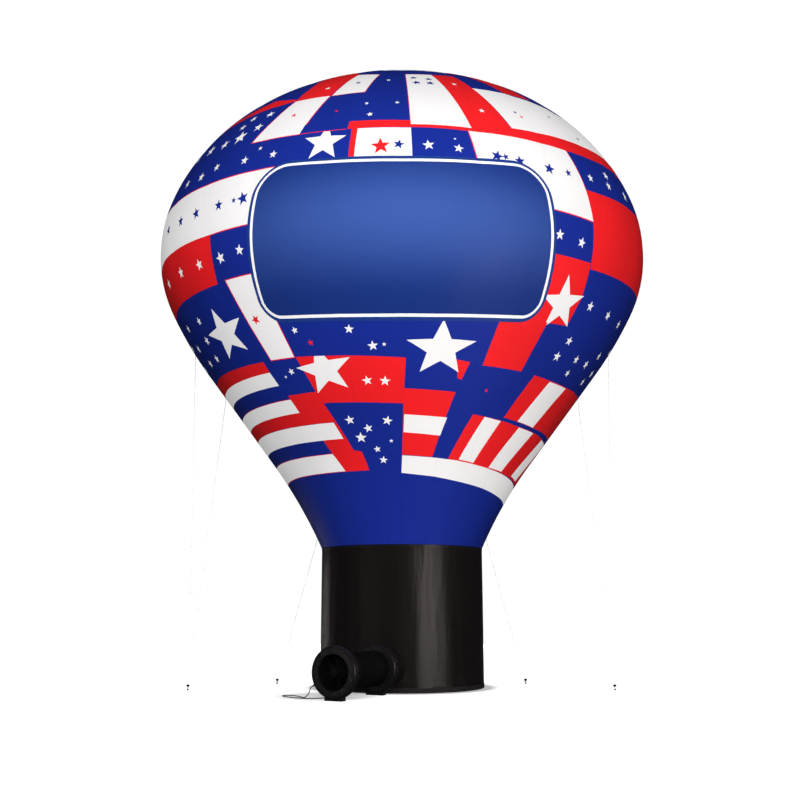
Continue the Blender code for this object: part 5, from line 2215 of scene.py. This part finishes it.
    def strap(self) -> None:
        """Webbing strap round the sleeve, with a side-squeeze buckle."""
        inside = self.duct + GAP + 0.0053
        outside, half = inside + 0.0024, 0.015
        section = [(outside, half, 0.001), (outside, -half, 0.001), (inside, -half), (inside, half)]
        place = self.frame(self.strap_place)
        web = Shape().add(turned(filleted(section, True, 2), 128), place)
        web.piece("sleeve_strap_web", STRAP, Slot.WEBBING, ("sleeve_strap",))
        turn = place @ Matrix.Rotation(math.radians(40), 4, "Z")
        shape = Shape()
        for size, (x, y, z), rounding in self.buckle:
            shape.add(block(size, rounding), turn @ Matrix.Translation((x, outside + y, z)))
        shape.piece("strap_buckle_body", PLASTIC, Slot.PLASTIC, ("strap_buckle",))


FAN = Fan()


# The power cord


@dataclass
class PowerCord:
    """Cord from the gland round the loop on the ground to a coil of the spare length, and its plug."""

    radius: float = 0.004
    straight: float = 0.020
    gland_facet: float = 18.5
    gland_length: float = 0.034
    gland_radius: float = 0.013
    coil_centre: Pair = (-0.640, -0.880)
    plug_centre: Triple = (-0.588, -0.770, 0.0125)
    route: tuple[Triple, ...] = (
        (-0.775, -1.385, 0.052),
        (-0.800, -1.340, 0.024),
        (-0.825, -1.280, 0.007),
        (-0.858, -1.190, 0.0045),
        (-0.905, -1.090, 0.0045),
        (-0.960, -1.020, 0.0045),
        (-1.010, -1.010, 0.0045),
        (-1.032, -1.060, 0.0045),
        (-1.010, -1.130, 0.0045),
        (-0.950, -1.210, 0.0045),
        (-0.870, -1.290, 0.0045),
        (-0.785, -1.330, 0.0045),
        (-0.700, -1.310, 0.0045),
        (-0.635, -1.240, 0.0045),
        (-0.602, -1.150, 0.0045),
        (-0.590, -1.060, 0.0045),
        (-0.588, -0.980, 0.0045),
        (-0.588, -0.912, 0.0045),
    )
    tail: tuple[Triple, ...] = (
        (-0.588, -0.866, 0.0200),
        (-0.588, -0.848, 0.0180),
        (-0.588, -0.830, 0.0150),
        (-0.588, -0.812, 0.0132),
        (-0.588, -0.7965, 0.0125),
    )
    # turn of the coil at which the cord has reached a lane, how long it takes, lane's radius and height
    lanes: tuple[tuple[float, float, float, float], ...] = (
        (0.00, 0.20, 0.0520, 0.0042),
        (0.92, 0.20, 0.0435, 0.0042),
        (1.66, 0.16, 0.0435, 0.0124),
        (2.48, 0.20, 0.0520, 0.0124),
        (3.24, 0.16, 0.0520, 0.0204),
    )
    turns: float = 4.0
    points_per_turn: int = 30
    # along the plug from the cord, half width, half height
    plug_stations: tuple[Triple, ...] = (
        (-0.0262, 0.0046, 0.0046),
        (-0.0235, 0.0062, 0.0058),
        (-0.0200, 0.0095, 0.0080),
        (-0.0150, 0.0118, 0.0095),
        (-0.0080, 0.0122, 0.0098),
        (0.0000, 0.0128, 0.0104),
        (0.0090, 0.0142, 0.0114),
        (0.0150, 0.0148, 0.0118),
        (0.0235, 0.0150, 0.0120),
        (0.0256, 0.0144, 0.0114),
        (0.0260, 0.0132, 0.0102),
    )

    def gland_frame(self) -> Matrix:
        """A frame whose Z leaves the inlet ring's rim, low on the left.

        Returns:
            The frame.
        """
        around = Matrix.Rotation(self.gland_facet * 2 * math.pi / 32, 4, "Z")
        tilt = Matrix.Rotation(math.pi / 2, 4, "Y")
        rim = FAN.ring_radius * math.cos(math.pi / 32) + GAP
        return FAN.frame(FAN.length) @ around @ tilt @ Matrix.Translation((0, 0, rim))

    def coil(self) -> list[Vector]:
        """Points of the coil, in lanes that lie beside and on each other.

        Returns:
            The points, in their order along the cord.
        """
        count = round(self.turns * self.points_per_turn)
        centre = Vector((*self.coil_centre, 0))
        found = []
        for k in range(1, count + 1):
            t = self.turns * k / count
            radius, height = self.lanes[0][2:]
            for reached, takes, lane_radius, lane_height in self.lanes[1:]:
                share = eased(t, reached - takes, reached)
                radius += (lane_radius - radius) * share
                height += (lane_height - height) * share
            found.append(centre + polar(radius, 2 * math.pi * t, height))
        return found

    def path(self) -> list[Vector]:
        """The cord's whole line.

        Returns:
            Its points from the gland to the plug.
        """
        place = self.gland_frame()
        out = place.to_3x3() @ Vector((0, 0, 1))
        start = place.translation + out * (self.gland_length + GAP)
        free = [start, start + out * self.straight] + [Vector(p) for p in self.route]
        x, y = self.coil_centre
        enter = Vector((x + self.lanes[0][2], y, self.lanes[0][3]))
        coil = self.coil()
        leave = smooth_path([coil[-1]] + [Vector(p) for p in self.tail], 0.008)
        return smooth_path(free + [enter], 0.012) + coil + leave[1:]

    def build(self) -> None:
        path = self.path()
        curve = bpy.data.curves.new("power_cord_line", "CURVE")
        curve.dimensions = "3D"
        curve.bevel_depth = self.radius
        curve.bevel_resolution = 4
        curve.use_fill_caps = True
        spline = curve.splines.new("POLY")
        spline.points.add(len(path) - 1)
        for target, point in zip(spline.points, path):
            target.co = (*point, 1.0)
        spline.use_smooth = True
        curve.materials.append(JACKET.material())
        nodes = ("power_cord", "power_cord_coil", "power_cord_tail")
        cord = placed("power_cord_line", curve, nodes)
        self.plug()
        self.gland()

    def gland(self) -> bpy.types.Object:
        """The strain relief: a nut and a ribbed taper.

        Returns:
            The piece.
        """
        mouth, ribs = self.radius + 0.0015, 5
        top, foot = self.gland_length - 0.002, 0.0153
        step = (top - foot) / ribs
        corners: list[tuple[float, ...]] = [(0.0, self.gland_length), (mouth, self.gland_length, 0.0008)]
        for k in range(ribs):
            radius = mouth + (self.gland_radius * 0.68 - mouth) * (k / ribs + 0.12)
            z = top - step * k
            corners += [(radius, z, 0.0005), (radius, z - step * 0.6, 0.0005)]
            corners += [(radius - 0.0011, z - step * 0.7), (radius - 0.0011, z - step * 0.95)]
        corners += [(self.gland_radius, 0.0136, 0.001), (self.gland_radius, 0.0, 0.0008), (0.0, 0.0)]
        shape = Shape().add(turned(filleted(corners, False, 3), 48, False), self.gland_frame())
        return shape.piece("cord_gland_moulding", PLASTIC, Slot.PLASTIC, ("cord_gland",))

    def plug(self) -> bpy.types.Object:
        """Moulded plug: a body that swells towards its face, finger ridges and two flat pins.

        Returns:
            The piece.
        """
        steps = 40
        rings = []
        for along, wide, tall in self.plug_stations:
            ring = []
            for k in range(steps):
                c, s = polar(1.0, 2 * math.pi * k / steps).xy
                x = wide * math.copysign(abs(c) ** 0.5, c)
                ring.append(Vector((x, along, tall * math.copysign(abs(s) ** 0.5, s))))
            rings.append(ring)
        plain = [(0.0, 0.0)] * steps
        shape = lofted(rings, plain, [0.0] * len(rings), caps=plain)
        ridge = block((0.0015, 0.0024, 0.014), 0.0006, 2)
        for k in range(4):
            for side in (-1, 1):
                shape.add(ridge, Matrix.Translation((side * 0.0124, -0.012 + 0.0042 * k, 0)))
        for side in (-1, 1):
            pin = block((0.0016, 0.016, 0.0065), 0.0005, 2)
            shape.add(pin, Matrix.Translation((side * 0.0065, 0.034, 0.001)), 1)
        moved = Shape().add(shape, Matrix.Translation(self.plug_centre))
        return moved.piece("power_plug_moulding", (JACKET, BRASS), Slot.CORD, ("power_plug",), sharp=50)


# The studio


@dataclass(frozen=True)
class SoftBox:
    """A lamp: its place, the point that it faces, its size and power, and whether gloss shows it."""

    name: str
    place: Triple
    target: Triple
    size: Pair
    power: float
    glossy: bool = False
    colour: Triple = PURE_WHITE


WARM = (1.0, 0.90, 0.86)

SOFT_BOXES = (
    SoftBox("key", (0.6, -13.0, 3.7), (0.0, 0.0, 3.3), (5.0, 5.0), 1420.0),
    SoftBox("left", (-7.5, -9.5, 4.4), (0.0, 0.0, 3.3), (4.0, 4.0), 400.0),
    SoftBox("right", (7.5, -9.5, 4.4), (0.0, 0.0, 3.0), (4.0, 4.0), 270.0),
    SoftBox("top", (0.0, -0.5, 12.5), (0.0, 0.0, 0.0), (9.0, 9.0), 30.0),
    SoftBox("back", (0.6, 13.0, 4.6), (0.0, 0.0, 3.2), (5.0, 5.0), 950.0),
    SoftBox("strip", (3.6, -4.6, 0.9), (0.0, 0.0, 0.8), (0.14, 2.4), 70.0, True, WARM),
    SoftBox("thin_strip", (-4.2, -4.3, 0.9), (0.0, 0.0, 0.8), (0.05, 2.4), 4.0, True, WARM),
    SoftBox("edge", (-2.1, 1.15, 0.66), (-0.72, -0.28, 0.66), (0.22, 1.2), 1.5, True, WARM),
)


@dataclass(frozen=True)
class Shadow:
    """A painted shadow on the floor: a round place where the floor's own light is weaker; its middle, its
    full part, its reach.
    """

    middle: Triple
    full: Pair  # radius and light
    reach: float


@dataclass
class Studio:
    """Plain white floor and backdrop, soft lights, and the camera."""

    image: float = 800.0
    focal: float = 1000.0  # pixels
    axis_pixel: float = 401.9
    camera_place: Triple = (0.0, -10.049, 0.728)
    pitch: float = 11.872
    world: float = 0.02
    far_glow: float = 1.05
    # the floor's own light is weaker round the pedestal and the fan: painted contact shadows there, which
    # also let the lamps' shadows show
    shadows: tuple[Shadow, ...] = (
        Shadow((0.0, 0.0, 0.0), (0.84, 0.25), 1.00),
        Shadow((-0.66, -1.06, 0.0), (0.30, 0.45), 0.62),
    )

    def build(self) -> None:
        """Builds the whole studio."""
        self.camera()
        self.backdrop()
        self.lights()
        settings = bpy.context.scene.view_settings
        settings.view_transform = "Standard"
        settings.look = "None"

    def camera(self) -> None:
        """The camera at the photograph's angle."""
        data = bpy.data.cameras.new("camera")
        data.sensor_width = 36.0
        data.lens = 36.0 * self.focal / self.image
        data.shift_x = -(self.axis_pixel - self.image / 2) / self.image
        data.clip_end = 200.0
        camera = bpy.data.objects.new("camera", data)
        camera.location = self.camera_place
        camera.rotation_euler = (math.radians(90 + self.pitch), 0, 0)
        bpy.context.scene.collection.objects.link(camera)
        bpy.context.scene.camera = camera

    def backdrop(self) -> None:
        """A white floor that takes soft shadows and has painted shadows round the pedestal and the fan, a
        white dome round it, and a dim world.
        """
        reach = 60.0
        drop = -0.0005
        corners = [(x * reach, y * reach, drop) for x, y in ((-1, -1), (1, -1), (1, 1), (-1, 1))]
        floor = bpy.data.meshes.new("studio_floor")
        floor.from_pydata(corners, [], [(0, 1, 2, 3)])
        nodes = self.surround("studio_floor", floor, (0.55, 0.55, 0.55), self.far_glow)
        light = self.far_glow
        # painted shadow: the floor's own light is lowest at each shadow's middle and rises to far_glow at
        # its reach
        for shadow in self.shadows:
            far = nodes.distance(nodes.place(), shadow.middle)
            rising = nodes.ramp(far, shadow.full, (shadow.reach, self.far_glow))
            light = nodes.math("MINIMUM", light, rising)
        nodes.feed(nodes.shader, Emission_Strength=light)
        work = bmesh.new()
        bmesh.ops.create_uvsphere(work, u_segments=48, v_segments=24, radius=reach * 1.05)
        dome = bpy.data.meshes.new("studio_dome")
        work.to_mesh(dome)
        work.free()
        self.surround("studio_dome", dome, (0.0, 0.0, 0.0), self.far_glow)
        world = bpy.data.worlds.new("studio")
        world.use_nodes = True
        lit = world.node_tree.nodes["Background"]
        lit.inputs["Color"].default_value = (*PURE_WHITE, 1.0)
        lit.inputs["Strength"].default_value = self.world
        bpy.context.scene.world = world

    def surround(self, name: str, mesh: bpy.types.Mesh, colour: Triple, glow: float) -> Nodes:
        """Makes a mesh part of the stage, which neither lights the object nor shows in its gloss.

        Args:
            name: The piece's name.
            mesh: Its mesh.
            colour: Its base colour.
            glow: Its own light.

        Returns:
            Its material's nodes.
        """
        nodes = Nodes(name)
        nodes.feed(
            nodes.shader, Base_Color=colour, Roughness=1.0, Specular_IOR_Level=0.0,
            Emission_Color=PURE_WHITE, Emission_Strength=glow,
        )
        mesh.materials.append(nodes.material)
        piece = bpy.data.objects.new(name, mesh)
        piece.visible_diffuse = False
        piece.visible_glossy = False
        piece.visible_shadow = False
        bpy.context.scene.collection.objects.link(piece)
        return nodes

    def lights(self) -> None:
        """The soft boxes, unseen by the camera."""
        for box in SOFT_BOXES:
            data = bpy.data.lights.new(box.name, "AREA")
            data.shape = "RECTANGLE"
            data.size, data.size_y = box.size
            data.energy = box.power
            data.color = box.colour
            lamp = bpy.data.objects.new(box.name, data)
            lamp.location = box.place
            way = Vector(box.target) - Vector(box.place)
            lamp.rotation_euler = way.to_track_quat("-Z", "Y").to_euler()
            lamp.visible_camera = False
            lamp.visible_glossy = box.glossy
            bpy.context.scene.collection.objects.link(lamp)


def main() -> None:
    """Builds every sub-assembly in order."""
    logging.basicConfig(level=logging.INFO, format="%(message)s")
    stakes = {
        "left": (-1.99, -0.40),
        "right": (1.98, -0.40),
        "rear_left": (-1.26, 0.42),
        "rear_right": (1.25, 0.42),
    }
    tethers = (
        Tether("left_1", 4.25, 20, -1, stakes["left"], -0.009),
        Tether("left_2", 3.40, 30, -1, stakes["left"], 0.009),
        Tether("left_3", 2.90, 70, -1, stakes["rear_left"], 0.0),
        Tether("right_1", 4.25, 20, 1, stakes["right"], 0.009),
        Tether("right_2", 3.40, 30, 1, stakes["right"], -0.009),
        Tether("right_3", 2.90, 70, 1, stakes["rear_right"], 0.0),
    )
    Studio().build()
    PowerCord().build()
    Envelope().build()
    Banner("banner_front", -1).build()
    Banner("banner_back", 1).build()
    for tether in tethers:
        tether.build()
    for name, place in stakes.items():
        Stake(name, place).build()
    Pedestal().build()
    FAN.build()


if __name__ == "__main__":
    main()
